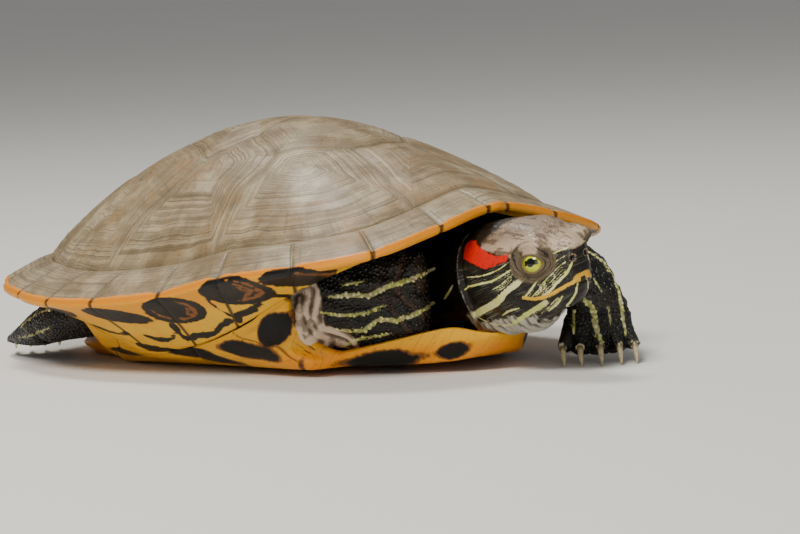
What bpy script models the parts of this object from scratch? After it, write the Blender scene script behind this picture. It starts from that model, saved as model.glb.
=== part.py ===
"""Red-eared slider turtle, a still life-size model.

The animal lies on its plastron with the front of the shell slightly raised. The left foreleg
stands on the floor beside the head, the right foreleg is folded into its pocket, and the hind
legs and tail are tucked under the rear rim.

Shapes are worked out in the shell's own axes, in millimetres: X forward, Y to the animal's
left, Z up from the underside of the plastron, with zero at the middle of the shell. Each mesh
is then pitched with the shell, set down on the floor and written in metres.
"""
import math

import bmesh
import bpy
import numpy as np
from mathutils import Matrix, Vector

MM = 0.001

# How the shell sits: pitch of the plastron, the point that it turns about, and the place of
# the part's origin, under the middle of the whole animal.
SHELL_PITCH = math.radians(1.2)
HEEL_X = -70.0
ORIGIN_X = 14.1

# Gap between neighbouring pieces.
GAP = 0.35

# Carapace. The rim passes through the seams between the marginal plates, listed from the
# nuchal plate to the tail: forward, sideways, height.
MARGINAL_SEAMS = (
    (100.3, 4.4, 52.2), (100.4, 26.5, 47.6), (94.2, 52.4, 41.0), (71.8, 69.0, 36.8),
    (40.6, 75.6, 33.0), (13.8, 79.5, 27.6), (-15.6, 85.2, 25.2), (-40.4, 85.0, 25.0),
    (-64.5, 78.5, 26.5), (-87.0, 66.0, 29.0), (-102.0, 46.0, 30.0), (-110.0, 23.5, 29.5),
    (-110.5, 0.0, 28.0),
)
NUCHAL_MIDDLE = (100.9, 0.0, 52.6)
NUCHAL_WIDTH = 0.5
# Underside of each marginal: how far in from the rim it ends, and how far below the rim.
MARGINAL_DEPTH = (12.0, 12.5, 14.0, 18.5, 17.6, 18.8, 22.5, 20.0, 14.0, 13.0, 12.5, 12.0, 12.0)
MARGINAL_DROP = (2.5, 2.8, 4.0, 9.8, 17.8, 19.2, 19.4, 12.5, 4.0, 3.2, 3.0, 3.0, 3.0)
DOME_TOP = 82.0
DOME_EDGE = 0.84
DOME_POWER = 2.0
DOME_FRONT_POWER = -0.5
MARGINAL_RISE_FRONT = 6.2
MARGINAL_RISE_REAR = 8.0
MARGINAL_RISE_SIDE = 10.3
RIM_THICKNESS = 2.6
REAR_SCALLOP = 1.6
WALL = 5.0
COLUMN_STEP = 0.5
# Rings of the dome's outside, and of its inside with the wall's thickness, from 0 to 1 at the rim.
OUTER_RINGS = (0.13, 0.27, 0.41, 0.54, 0.66, 0.76, DOME_EDGE, 0.92, 1.0)
INNER_RINGS = ((0.80, WALL + 2.0), (0.66, WALL), (0.46, WALL), (0.22, WALL))

# Plastron: half-width of the lobes, lift of the edge and lift of the middle, at stations
# along the animal.
PLASTRON_STATIONS = (
    # forward, keel, edge, keel lift, edge lift, middle lift
    (-96.0, 8.0, 14.0, 2.2, 3.6, 2.0),
    (-92.0, 18.0, 25.0, 1.4, 3.8, 1.0),
    (-84.0, 28.0, 34.5, 0.8, 4.2, 0.2),
    (-72.0, 34.5, 41.0, 0.5, 4.4, 0.0),
    (-58.0, 37.5, 43.5, 0.3, 4.4, 0.0),
    (-46.0, 40.0, 46.0, 0.3, 4.4, 0.0),
    (60.0, 37.5, 45.0, 0.3, 3.4, 0.0),
    (66.0, 34.5, 41.5, 0.2, 5.2, 0.0),
    (74.0, 29.0, 35.5, 0.1, 7.4, 0.0),
    (82.0, 22.0, 28.5, 0.1, 9.6, 0.1),
    (89.0, 16.0, 22.5, 0.5, 11.4, 0.4),
    (93.5, 13.0, 18.6, 1.6, 12.0, 1.2),
    (97.0, 9.5, 14.0, 3.4, 10.6, 2.8),
    (100.0, 6.0, 9.5, 6.0, 9.0, 5.4),
    (101.6, 3.0, 5.0, 8.0, 8.8, 7.8),
)
HIND_LOBE_STATIONS = 6
# Seam numbers between which the bridge climbs to the marginals, rear to front.
BRIDGE_REAR_SEAM = 7.5
BRIDGE_FRONT_SEAM = 3.0
BRIDGE_KEEL = 54.0
BRIDGE_KEEL_LIFT = 1.2
LIP_FACE = (-0.916, 0.40)
PLASTRON_THICKNESS = 4.4
# The front lobe thins to its tip past this place, over this length.
FRONT_THINNING_X = 93.5
FRONT_THINNING_LENGTH = 8.0
FRONT_EDGE_THICKNESS = 1.8
LOBE_EDGE_SHARE = 0.5
BRIDGE_EDGE_SHARE = 0.7

# Trunk: forward and half-width. Its roof follows the dome.
TRUNK_STATIONS = (
    (-84.0, 20.0), (-72.0, 29.0), (-56.0, 36.0), (-40.0, 43.0), (-20.0, 50.0), (5.0, 51.0),
    (26.0, 49.0), (36.0, 46.0),
)
TRUNK_FLOOR = 6.0
TRUNK_ROOF_GAP = 9.4
TRUNK_SIDE_LIFT = 9.0

# Head: its own axes have X to the snout, Y left and Z up, with zero between the nostrils.
HEAD_PLACE = (137.95, -0.5, 34.65)
HEAD_YAW = math.radians(-4.0)
HEAD_PITCH = math.radians(9.0)
HEAD_STATIONS = (
    # forward, half-width, top, bottom, height of the widest line
    (1.8, 2.6, 2.6, -6.6, -1.5),
    (1.2, 4.0, 4.2, -10.6, -2.5),
    (-0.6, 5.2, 5.4, -13.2, -3.5),
    (-3.5, 6.6, 6.9, -14.8, -4.5),
    (-7.5, 8.8, 8.9, -15.6, -3.5),
    (-11.5, 10.9, 11.9, -16.0, -1.5),
    (-15.5, 12.2, 14.2, -16.2, -1.5),
    (-21.0, 13.6, 16.6, -16.2, -2.0),
    (-28.0, 14.8, 18.0, -16.2, -1.5),
    (-35.0, 15.3, 18.4, -15.4, 0.0),
    (-42.0, 14.8, 17.6, -15.0, 0.5),
)
HEAD_SIDES = 22
HEAD_STEPS = 2
HEAD_SQUARENESS = 0.86
# The head leans over to the right: its left side is lifted and pushed out by this much.
LEAN_UP, LEAN_OUT = 3.3, 1.2
LEAN_ACROSS = (-5.0, 11.0)
LEAN_ALONG = (-30.0, -15.0)
MOUTH_LINE = ((5.0, -7.4), (0.5, -8.0), (-3.0, -9.8), (-8.0, -11.0), (-17.0, -10.4))
JAW_HEEL = ((-21.5, -14.0), (-22.5, -24.0), (5.0, -24.0))
EYE_CENTRE = (-13.0, 6.5, 0.8)
EYE_RADIUS = 5.1
SOCKET_RADIUS = 5.5
BALL_SIDES = 14
BALL_ROWS = 8

# Soft round bodies are lofted through stations: centre, half-width across, half-height.
TUBE_STEPS = 2
NECK_STATIONS = (
    ((96.1, 2.4, 29.4), 15.6, 17.4), ((90.2, 2.8, 28.0), 14.6, 16.4),
    ((82.0, 3.8, 26.4), 12.4, 14.4), ((68.0, 4.5, 26.5), 11.6, 13.8),
    ((52.0, 2.5, 27.0), 14.0, 15.6), ((38.0, 1.0, 27.4), 17.0, 17.4),
)
FORELEG_LEFT_STATIONS = (
    ((38.5, 35.0, 22.0), 13.0, 14.0), ((56.0, 35.5, 21.6), 12.4, 13.6),
    ((72.0, 36.5, 21.0), 11.0, 11.6), ((84.0, 37.8, 21.4), 9.8, 10.0),
    ((93.0, 38.6, 23.0), 9.0, 9.0),
)
FORELEG_RIGHT_STATIONS = (
    ((38.5, -33.5, 22.5), 15.5, 15.0), ((50.0, -32.5, 22.0), 15.0, 15.6),
    ((61.0, -32.6, 21.8), 9.4, 16.0), ((69.5, -29.2, 22.0), 8.2, 16.2),
    ((77.0, -24.3, 22.8), 7.2, 15.6), ((82.5, -20.2, 23.4), 5.0, 14.4),
)
FOREARM_TUCKED_STATIONS = (
    ((76.0, -13.2, 16.0), 3.6, 7.6), ((69.0, -13.6, 16.4), 5.0, 9.6),
    ((61.0, -14.0, 15.0), 4.6, 8.6), ((55.0, -14.4, 13.0), 3.4, 6.2),
)
TAIL_STATIONS = (
    ((-85.0, 0.0, 16.0), 11.0, 8.6), ((-92.0, 1.0, 15.0), 8.6, 7.2),
    ((-99.0, 4.0, 13.2), 6.0, 5.4), ((-104.0, 10.0, 11.4), 4.3, 4.0),
    ((-105.0, 18.0, 9.8), 3.0, 2.8), ((-102.0, 26.0, 8.4), 1.9, 1.8),
    ((-98.0, 32.0, 7.4), 0.9, 0.9),
)

# Left forefoot. The forearm comes down in front of the rim and the toes point forward and in.
FOOT_FORWARD = Vector((0.752, -0.659, 0.0))
FOOT_ACROSS = Vector((0.659, 0.752, 0.0))
FOREARM_STATIONS = (
    # along the toes, across them, height, half-width across, half-depth
    (50.5, 94.6, 24.6, 8.6, 8.4),
    (54.0, 97.2, 20.0, 9.3, 7.8),
    (57.5, 98.8, 14.0, 10.6, 6.8),
    (61.0, 98.0, 8.4, 12.4, 5.8),
    (65.5, 97.6, 3.4, 13.4, 4.8),
)
TOE_ACROSS = (85.4, 91.2, 98.0, 104.6, 110.0)
TOE_REACH = (69.0, 71.0, 72.0, 71.4, 69.2)
TOE_RADIUS = 2.5

# Claws: length, half-width at the root and how far the tip curls down.
FORE_CLAW = (9.0, 1.35)
HIND_CLAW = (8.0, 1.3)
TUCKED_CLAW = (8.0, 0.95)
CLAW_SIDES = 7
CLAW_STEPS = 4

COLOURS = {
    "carapace": ((0.30, 0.25, 0.17), 0.42),
    "plastron": ((0.78, 0.40, 0.06), 0.40),
    "skin": ((0.035, 0.038, 0.030), 0.55),
    "eye": ((0.45, 0.50, 0.06), 0.12),
    "claw": ((0.62, 0.55, 0.36), 0.35),
}


# ---------------------------------------------------------------- scene and mesh helpers

def clear_scene():
    """Remove whatever the file starts with."""
    for obj in list(bpy.data.objects):
        bpy.data.objects.remove(obj)


def material(name):
    """Return the named plain material, made once."""
    found = bpy.data.materials.get(name)
    if found:
        return found
    colour, roughness = COLOURS[name]
    made = bpy.data.materials.new(name)
    made.use_nodes = True
    shader = made.node_tree.nodes["Principled BSDF"]
    shader.inputs["Base Color"].default_value = (*colour, 1.0)
    shader.inputs["Roughness"].default_value = roughness
    shader.inputs["Metallic"].default_value = 0.0
    made.diffuse_color = (*colour, 1.0)
    return made


def shell_to_part():
    """Matrix from the shell's axes in millimetres to the part's axes in metres."""
    heel = Matrix.Translation((-HEEL_X, 0.0, 0.0))
    pitch = Matrix.Rotation(-SHELL_PITCH, 4, "Y")
    back = Matrix.Translation((HEEL_X - ORIGIN_X, 0.0, 0.0))
    return Matrix.Scale(MM, 4) @ back @ pitch @ heel


def head_to_shell():
    """Matrix from the head's axes to the shell's axes."""
    turn = Matrix.Rotation(HEAD_YAW, 4, "Z") @ Matrix.Rotation(-HEAD_PITCH, 4, "Y")
    return Matrix.Translation(HEAD_PLACE) @ turn


def solid(name, rings, finish, place=None, rests=False):
    """Join rings of equal length into one closed, smooth-shaded object.

    A ring of one point is a pole. With rests set, what would go under the floor is made flat.
    """
    to_part = shell_to_part() @ (place or Matrix.Identity(4))
    mesh = bmesh.new()
    rows = []
    for ring in rings:
        row = []
        for point in ring:
            spot = to_part @ Vector(point)
            if rests:
                spot.z = max(spot.z, 0.0)
            row.append(mesh.verts.new(spot))
        rows.append(row)
    for lower, upper in zip(rows, rows[1:]):
        count = max(len(lower), len(upper))
        for i in range(count):
            j = (i + 1) % count
            if len(lower) == 1:
                mesh.faces.new((lower[0], upper[i], upper[j]))
            elif len(upper) == 1:
                mesh.faces.new((lower[i], lower[j], upper[0]))
            else:
                mesh.faces.new((lower[i], lower[j], upper[j], upper[i]))
    if len(rows[0]) > 2:
        mesh.faces.new(rows[0][::-1])
    if len(rows[-1]) > 2:
        mesh.faces.new(rows[-1])
    bmesh.ops.triangulate(mesh, faces=[face for face in mesh.faces if len(face.verts) > 4])
    bmesh.ops.recalc_face_normals(mesh, faces=mesh.faces)
    if mesh.calc_volume(signed=True) < 0.0:
        bmesh.ops.reverse_faces(mesh, faces=mesh.faces)
    data = bpy.data.meshes.new(name)
    mesh.to_mesh(data)
    mesh.free()
    data.shade_smooth()
    data.materials.append(material(finish))
    obj = bpy.data.objects.new(name, data)
    bpy.context.scene.collection.objects.link(obj)
    return obj


def as_cutter(obj):
    """Keep a shape for cutting only."""
    obj.hide_render = True
    obj.display_type = "WIRE"
    return obj


def boolean(obj, cutter, operation):
    """Add an exact Boolean to an object."""
    cut = obj.modifiers.new(operation.lower(), "BOOLEAN")
    cut.operation = operation
    cut.solver = "EXACT"
    cut.object = cutter


def hermite(keys, values, wanted):
    """Smooth curve through values at increasing keys, read at the wanted keys."""
    keys = np.asarray(keys, float)
    values = np.asarray(values, float).reshape(len(keys), -1)
    steps = np.diff(values, axis=0) / np.diff(keys)[:, None]
    slopes = np.vstack([steps[:1], steps, steps[-1:]])
    spans = np.concatenate([[1.0], np.diff(keys), [1.0]])
    share = (spans[:-1] / (spans[:-1] + spans[1:]))[:, None]
    slopes = slopes[:-1] * (1.0 - share) + slopes[1:] * share
    wanted = np.atleast_1d(np.asarray(wanted, float))
    cell = np.clip(np.searchsorted(keys, wanted, side="right") - 1, 0, len(keys) - 2)
    span = (keys[cell + 1] - keys[cell])[:, None]
    u = (wanted[:, None] - keys[cell][:, None]) / span
    start, end = values[cell], values[cell + 1]
    return (
        (2 * u ** 3 - 3 * u ** 2 + 1) * start + (u ** 3 - 2 * u ** 2 + u) * span * slopes[cell]
        + (3 * u ** 2 - 2 * u ** 3) * end + (u ** 3 - u ** 2) * span * slopes[cell + 1]
    )


def refine(rows, steps):
    """Put steps - 1 smooth rows between each pair of rows of numbers."""
    keys = np.arange(len(rows))
    wanted = np.linspace(0, len(rows) - 1, (len(rows) - 1) * steps + 1)
    return hermite(keys, rows, wanted)


def oval(centre, across, rise, wide, tall, sides):
    """One ring round a centre, from two half-axes."""
    angles = [2.0 * math.pi * (i + 0.5) / sides for i in range(sides)]
    return [
        Vector(centre) + Vector(across) * (wide * math.cos(a)) + Vector(rise) * (tall * math.sin(a))
        for a in angles
    ]


def soft_tube(stations, sides, upright=False, start=None, end=None):
    """Rings of a soft limb that follow a path of stations, square to the path.

    With upright set, the rings keep the world's up as their height. The first and last ring
    can face a direction of their own, so that two limbs meet on one plane.
    """
    rows = refine([(*centre, wide, tall) for centre, wide, tall in stations], TUBE_STEPS)
    centres = [Vector(row[:3]) for row in rows]
    rings = []
    for i, row in enumerate(rows):
        ahead = centres[min(i + 1, len(rows) - 1)] - centres[max(i - 1, 0)]
        if i == 0 and start:
            ahead = Vector(start)
        if i == len(rows) - 1 and end:
            ahead = Vector(end)
        ahead.normalize()
        across = Vector((0.0, 0.0, 1.0)).cross(ahead).normalized()
        rise = Vector((0.0, 0.0, 1.0)) if upright else ahead.cross(across)
        rings.append(oval(centres[i], across, rise, row[3], row[4], sides))
    return rings


def rounded_end(rings, length):
    """Rings that close a tube with a low dome past its last ring."""
    centre = sum(rings[-1], Vector()) / len(rings[-1])
    before = sum(rings[-2], Vector()) / len(rings[-2])
    ahead = (centre - before).normalized()
    turn = math.radians(60.0)
    shift = ahead * (length * math.sin(turn))
    shoulder = [centre + (point - centre) * math.cos(turn) + shift for point in rings[-1]]
    return [shoulder, [centre + ahead * length]]


# ---------------------------------------------------------------- shell

def rim_keys():
    """Keys and points of the closed rim: left seams, right seams, then the nuchal's middle."""
    last = len(MARGINAL_SEAMS) - 1
    keys = list(range(last + 1))
    points = [list(seam) for seam in MARGINAL_SEAMS]
    for k in range(last - 1, -1, -1):
        x, y, z = MARGINAL_SEAMS[k]
        keys.append(2 * last - k)
        points.append([x, -y, z])
    keys.append(2 * last + NUCHAL_WIDTH / 2)
    points.append(list(NUCHAL_MIDDLE))
    return keys, points, 2 * last + NUCHAL_WIDTH


def around(values):
    """Repeat values listed for the left seams round the whole rim."""
    return list(values) + list(values[-2::-1]) + [values[0]]


def read_round(values, t):
    """Read a closed list of rim values at the key t."""
    keys, _, period = rim_keys()
    keys = np.array(keys, float)
    values = np.asarray(values, float).reshape(len(keys), -1)
    keys = np.concatenate([keys[-3:] - period, keys, keys[:3] + period])
    values = np.concatenate([values[-3:], values, values[:3]])
    return hermite(keys, values, np.mod(t, period))


def rim(t):
    """Point of the rim at key t, with the rear plates bowed out between their seams."""
    _, points, _ = rim_keys()
    spot = read_round(points, t)
    seam_wave = np.abs(np.sin(np.pi * np.asarray(t, float)))[:, None]
    rear = np.clip(-(spot[:, :1] + 20.0) / 60.0, 0.0, 1.0)
    plan = np.linalg.norm(spot[:, :2], axis=1, keepdims=True)
    spot[:, :2] *= 1.0 + REAR_SCALLOP * (seam_wave - 0.6) * rear / plan
    return spot


def dome(t, rho):
    """Outer surface of the carapace: rho 0 is its middle and rho 1 its rim."""
    edge = rim(t)
    heading = np.arctan2(edge[:, 1], edge[:, 0])
    front = np.clip(np.cos(heading), 0, 1) ** 2
    rear = np.clip(-np.cos(heading), 0, 1) ** 2
    rise = (
        MARGINAL_RISE_FRONT * front + MARGINAL_RISE_REAR * rear
        + MARGINAL_RISE_SIDE * np.sin(heading) ** 2
    )
    foot = edge[:, 2] + rise
    power = DOME_POWER + DOME_FRONT_POWER * front
    inner = foot + (DOME_TOP - foot) * (1.0 - np.clip(rho / DOME_EDGE, 0, 1) ** power)
    outer = foot - rise * np.clip((rho - DOME_EDGE) / (1.0 - DOME_EDGE), 0, 1)
    height = np.where(rho <= DOME_EDGE, inner, outer)
    return np.stack([edge[:, 0] * rho, edge[:, 1] * rho, height], 1)


def marginal_lip(t, further=0.0, lift=0.0):
    """Inner lower edge of the marginals, optionally a little further in and up."""
    edge = rim(t)
    depth = read_round(around(MARGINAL_DEPTH), t)[:, 0] + further
    drop = read_round(around(MARGINAL_DROP), t)[:, 0] - lift
    plan = np.linalg.norm(edge[:, :2], axis=1)
    shrink = 1.0 - depth / plan
    return np.stack([edge[:, 0] * shrink, edge[:, 1] * shrink, edge[:, 2] - drop], 1)


def dome_height(x, y):
    """Height of the carapace's outer surface over the plan point (x, y)."""
    _, _, period = rim_keys()
    t = np.arange(0.0, period, 0.1)
    edge = rim(t)
    angles = np.arctan2(edge[:, 1], edge[:, 0])
    wanted = math.atan2(y, x)
    miss = np.abs(np.angle(np.exp(1j * (angles - wanted))))
    best = int(np.argmin(miss))
    rho = math.hypot(x, y) / np.linalg.norm(edge[best, :2])
    return float(dome(t[best:best + 1], np.array([min(rho, 1.0)]))[0, 2])


def build_carapace():
    """The bony dome with its marginal plates, open underneath like a bowl."""
    _, _, period = rim_keys()
    t = np.arange(0.0, period, COLUMN_STEP)
    full = np.ones_like(t)
    rings = [[(0.0, 0.0, DOME_TOP)]]
    for rho in OUTER_RINGS:
        rings.append(dome(t, full * rho).tolist())
    lower = rim(t)
    lower[:, :2] *= 0.994
    lower[:, 2] -= RIM_THICKNESS
    rings.append(lower.tolist())
    lip = marginal_lip(t)
    rings.append((0.5 * lower + 0.5 * lip + [0.0, 0.0, 0.6]).tolist())
    rings.append(lip.tolist())
    rings.append(marginal_lip(t, further=3.2, lift=1.4).tolist())
    for rho, wall in INNER_RINGS:
        inside = dome(t, full * rho)
        inside[:, 2] -= wall
        rings.append(inside.tolist())
    rings.append([(0.0, 0.0, DOME_TOP - WALL)])
    solid("carapace", rings, "carapace")


def plate_ring(x, outline, edge_share, edge_face=None):
    """A ring of the plastron at x, from the lower outline of its left half.

    The outline runs from the middle to the edge, as pairs of sideways and height. The plate
    thins towards its edge to a share of its thickness, and towards the front of the lobe.
    The edge's own face is square to the plate, or runs inwards along edge_face.
    """
    left = np.array(outline, float)
    lower = np.vstack([left[::-1], left[1:] * [-1.0, 1.0]])
    ahead = np.gradient(lower, axis=0)
    normal = np.stack([ahead[:, 1], -ahead[:, 0]], 1)
    normal /= np.linalg.norm(normal, axis=1, keepdims=True)
    if edge_face:
        normal[0] = edge_face
        normal[-1] = (-edge_face[0], edge_face[1])
    middle_out = np.abs(np.linspace(-1.0, 1.0, len(lower)))[:, None]
    front = min(max((x - FRONT_THINNING_X) / FRONT_THINNING_LENGTH, 0.0), 1.0)
    thickness = PLASTRON_THICKNESS + (FRONT_EDGE_THICKNESS - PLASTRON_THICKNESS) * front
    upper = lower + normal * thickness * (1.0 - (1.0 - edge_share) * middle_out ** 3)
    ring = np.vstack([lower, upper[::-1]])
    return [(x, y, z) for y, z in ring]


def lobe_outline(keel, edge, keel_lift, edge_lift, middle_lift):
    """Half outline of a free lobe of the plastron."""
    return [
        (0.0, middle_lift), (keel * 0.5, middle_lift), (keel, keel_lift),
        (keel + (edge - keel) * 0.45, keel_lift + (edge_lift - keel_lift) * 0.22),
        (keel + (edge - keel) * 0.82, keel_lift + (edge_lift - keel_lift) * 0.58),
        (edge, edge_lift),
    ]


def bridge_outline(top_y, top_z):
    """Half outline of the plastron where it climbs to the marginals."""
    keel = min(BRIDGE_KEEL, top_y - 3.5)
    return [
        (0.0, 0.0), (keel * 0.6, 0.0), (keel - 7.0, 0.1), (keel - 2.0, BRIDGE_KEEL_LIFT),
        (keel + (top_y - keel) * 0.5, BRIDGE_KEEL_LIFT + (top_z - BRIDGE_KEEL_LIFT) * 0.42),
        (top_y, top_z),
    ]


def build_plastron():
    """The floor of the shell, with the bridges that rise to the marginals on both sides."""
    keys = np.arange(BRIDGE_REAR_SEAM, BRIDGE_FRONT_SEAM - 0.1, -COLUMN_STEP)
    rings = []
    for x, *sizes in PLASTRON_STATIONS[:HIND_LOBE_STATIONS]:
        rings.append(plate_ring(x, lobe_outline(*sizes), edge_share=LOBE_EDGE_SHARE))
    for x, y, z in marginal_lip(keys):
        outline = bridge_outline(y - 0.1, z - 2.0 * GAP)
        rings.append(plate_ring(x, outline, edge_share=BRIDGE_EDGE_SHARE, edge_face=LIP_FACE))
    for x, *sizes in PLASTRON_STATIONS[HIND_LOBE_STATIONS:]:
        rings.append(plate_ring(x, lobe_outline(*sizes), edge_share=LOBE_EDGE_SHARE))
    solid("plastron", rings, "plastron", rests=True)


# ---------------------------------------------------------------- flesh

def build_trunk():
    """The body inside the shell, seen only deep in the leg pockets."""
    rings = []
    for x, wide in TRUNK_STATIONS:
        ring = []
        for share in (1.0, 0.7, 0.35, 0.0, -0.35, -0.7, -1.0):
            y = wide * share
            ring.append((x, y, dome_height(x, y * 1.02) - TRUNK_ROOF_GAP))
        for share in (-1.0, -0.82, 0.0, 0.82, 1.0):
            lift = TRUNK_SIDE_LIFT if abs(share) == 1.0 else 0.0
            ring.append((x, wide * share * 0.96, TRUNK_FLOOR + lift))
        rings.append(ring)
    solid("trunk", rings, "skin")


def eased(value, low, high):
    """A smooth step from 0 at low to 1 at high."""
    share = min(max((value - low) / (high - low), 0.0), 1.0)
    return share * share * (3.0 - 2.0 * share)


def leaned(x, y, z):
    """A point of the head after its left side is lifted."""
    share = eased(y, *LEAN_ACROSS) * eased(x, *LEAN_ALONG)
    return (x, y + LEAN_OUT * share, z + LEAN_UP * share)


def head_ring(x, wide, top, bottom, waist):
    """One ring of the head, with its own height above and below its widest line."""
    ring = []
    for i in range(HEAD_SIDES):
        angle = 2.0 * math.pi * (i + 0.5) / HEAD_SIDES
        across, rise = math.cos(angle), math.sin(angle)
        y = wide * math.copysign(abs(across) ** HEAD_SQUARENESS, across)
        tall = (top - waist) if rise > 0 else (waist - bottom)
        z = waist + tall * math.copysign(abs(rise) ** HEAD_SQUARENESS, rise)
        ring.append(leaned(x, y, z))
    return ring


def prism(name, profile, half_width, place):
    """A cutter: an outline in the head's side view, pushed out to both sides."""
    left = [(x, half_width, z + LEAN_UP) for x, z in profile]
    right = [(x, -half_width, z - LEAN_UP * 0.3) for x, z in profile]
    return as_cutter(solid(name, [left, right], "skin", place=place))


def grown(profile, amount):
    """The side-view outline moved outwards by an amount, corner by corner."""
    points = [Vector(point) for point in profile]
    made = []
    for i, point in enumerate(points):
        before, after = points[i - 1], points[(i + 1) % len(points)]
        edge_in, edge_out = (point - before).normalized(), (after - point).normalized()
        out_in, out_out = Vector((edge_in.y, -edge_in.x)), Vector((edge_out.y, -edge_out.x))
        middle = (out_in + out_out).normalized()
        reach = amount / max(middle.dot(out_in), 0.3)
        made.append(tuple(point + middle * reach))
    return made


def ball(name, centre, radius, finish, place):
    """A sphere with its poles to the animal's left and right."""
    rings = [[(centre[0], centre[1] - radius, centre[2])]]
    for k in range(1, BALL_ROWS):
        angle = math.pi * k / BALL_ROWS
        reach = radius * math.sin(angle)
        y = centre[1] - radius * math.cos(angle)
        rings.append([
            (centre[0] + reach * math.cos(2 * math.pi * i / BALL_SIDES), y,
             centre[2] + reach * math.sin(2 * math.pi * i / BALL_SIDES))
            for i in range(BALL_SIDES)
        ])
    rings.append([(centre[0], centre[1] + radius, centre[2])])
    return solid(name, rings, finish, place=place)


def build_head():
    """Head with the mouth cut open as a thin line, a lower jaw and two eyes in sockets."""
    place = head_to_shell()
    rows = refine(HEAD_STATIONS, HEAD_STEPS)
    rings = [head_ring(*row) for row in rows]
    head = solid("head", rings, "skin", place=place)
    jaw = solid("lower_jaw", rings, "skin", place=place)
    profile = MOUTH_LINE + JAW_HEEL
    boolean(jaw, prism("cut_jaw", profile, 30.0, place), "INTERSECT")
    boolean(head, prism("cut_mouth", grown(profile, GAP), 32.0, place), "DIFFERENCE")
    for side, sign in (("left", 1.0), ("right", -1.0)):
        centre = leaned(EYE_CENTRE[0], EYE_CENTRE[1] * sign, EYE_CENTRE[2])
        socket = as_cutter(ball(f"socket_{side}", centre, SOCKET_RADIUS, "skin", place))
        boolean(head, socket, "DIFFERENCE")
        ball(f"eye_{side}", centre, EYE_RADIUS, "eye", place)


def build_neck():
    """The neck, with its loose collar of skin just behind the head."""
    nape = head_to_shell().to_3x3() @ Vector((-1.0, 0.0, 0.0))
    solid("neck", soft_tube(NECK_STATIONS, 16, start=nape, end=(-1, 0, 0)), "skin")


def foot_point(reach, across, height):
    """Point of the left forefoot from its reach along the toes and place across them."""
    return FOOT_FORWARD * reach + FOOT_ACROSS * across + Vector((0.0, 0.0, height))


def toe(name, across, reach):
    """One toe as a cutter, from inside the palm to the root of its claw."""
    inner = foot_point(60.0, 97.8 + (across - 97.8) * 0.8, 4.6)
    outer = foot_point(reach, across, 1.4)
    ahead = (outer - inner).normalized()
    rise = ahead.cross(FOOT_ACROSS) * -1.0
    rings = []
    for share, radius in ((0.0, 1.1), (0.45, 1.15), (0.8, 1.05), (1.0, 0.7)):
        radius *= TOE_RADIUS
        rings.append(oval(inner.lerp(outer, share), FOOT_ACROSS, rise, radius, radius, 8))
    return as_cutter(solid(name, rings, "skin", rests=True))


def build_left_foreleg():
    """Upper arm under the rim, and the forearm, palm and toes on the floor in front."""
    elbow = Vector((0.996, 0.09, 0.0)).normalized()
    rings = soft_tube(FORELEG_LEFT_STATIONS, 14, upright=True, start=(1, 0, 0), end=elbow)
    solid("foreleg_left", rings, "skin")
    sides = 16
    centre = sum(rings[-1], Vector()) / len(rings[-1])
    across = Vector((0.0, 0.0, 1.0)).cross(elbow)
    rise = Vector((0.0, 0.0, 1.0))
    rings = [oval(centre + elbow * 0.4, across, rise, 8.6, 8.7, sides)]
    rings.append(oval(centre + elbow * 2.6, across, rise, 9.0, 9.2, sides))
    tilt = FOOT_FORWARD * 0.5 + Vector((0.0, 0.0, 0.85))
    for reach, side, height, wide, deep in refine(FOREARM_STATIONS, 2):
        rings.append(oval(foot_point(reach, side, height), FOOT_ACROSS, tilt, wide, deep, sides))
    rings.append(oval(foot_point(68.0, 97.6, 1.2), FOOT_ACROSS, rise, 12.6, 3.2, sides))
    foot = solid("forefoot_left", rings, "skin", rests=True)
    for number, (side, reach) in enumerate(zip(TOE_ACROSS, TOE_REACH), start=1):
        boolean(foot, toe(f"toe_{number}", side, reach), "UNION")
        root = foot_point(reach + 1.0, side, 1.1)
        claw(f"claw_fore_left_{number}", root, FOOT_FORWARD * 0.8 + Vector((0, 0, -0.6)),
             FORE_CLAW)


def build_right_foreleg():
    """The folded upper arm that fills the right pocket, and the tucked forearm and foot."""
    rings = soft_tube(FORELEG_RIGHT_STATIONS, 16, upright=True, start=(1, 0, 0))
    rings += rounded_end(rings, 1.8)
    solid("foreleg_right", rings, "skin")
    rings = soft_tube(FOREARM_TUCKED_STATIONS, 12, upright=True)
    solid("forefoot_right", rings, "skin")
    for number in range(1, 6):
        root = (54.0, -14.4, 6.1 + 2.3 * number)
        claw(f"claw_fore_right_{number}", root, Vector((-1.0, 0.1, -0.12)), TUCKED_CLAW)


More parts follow.
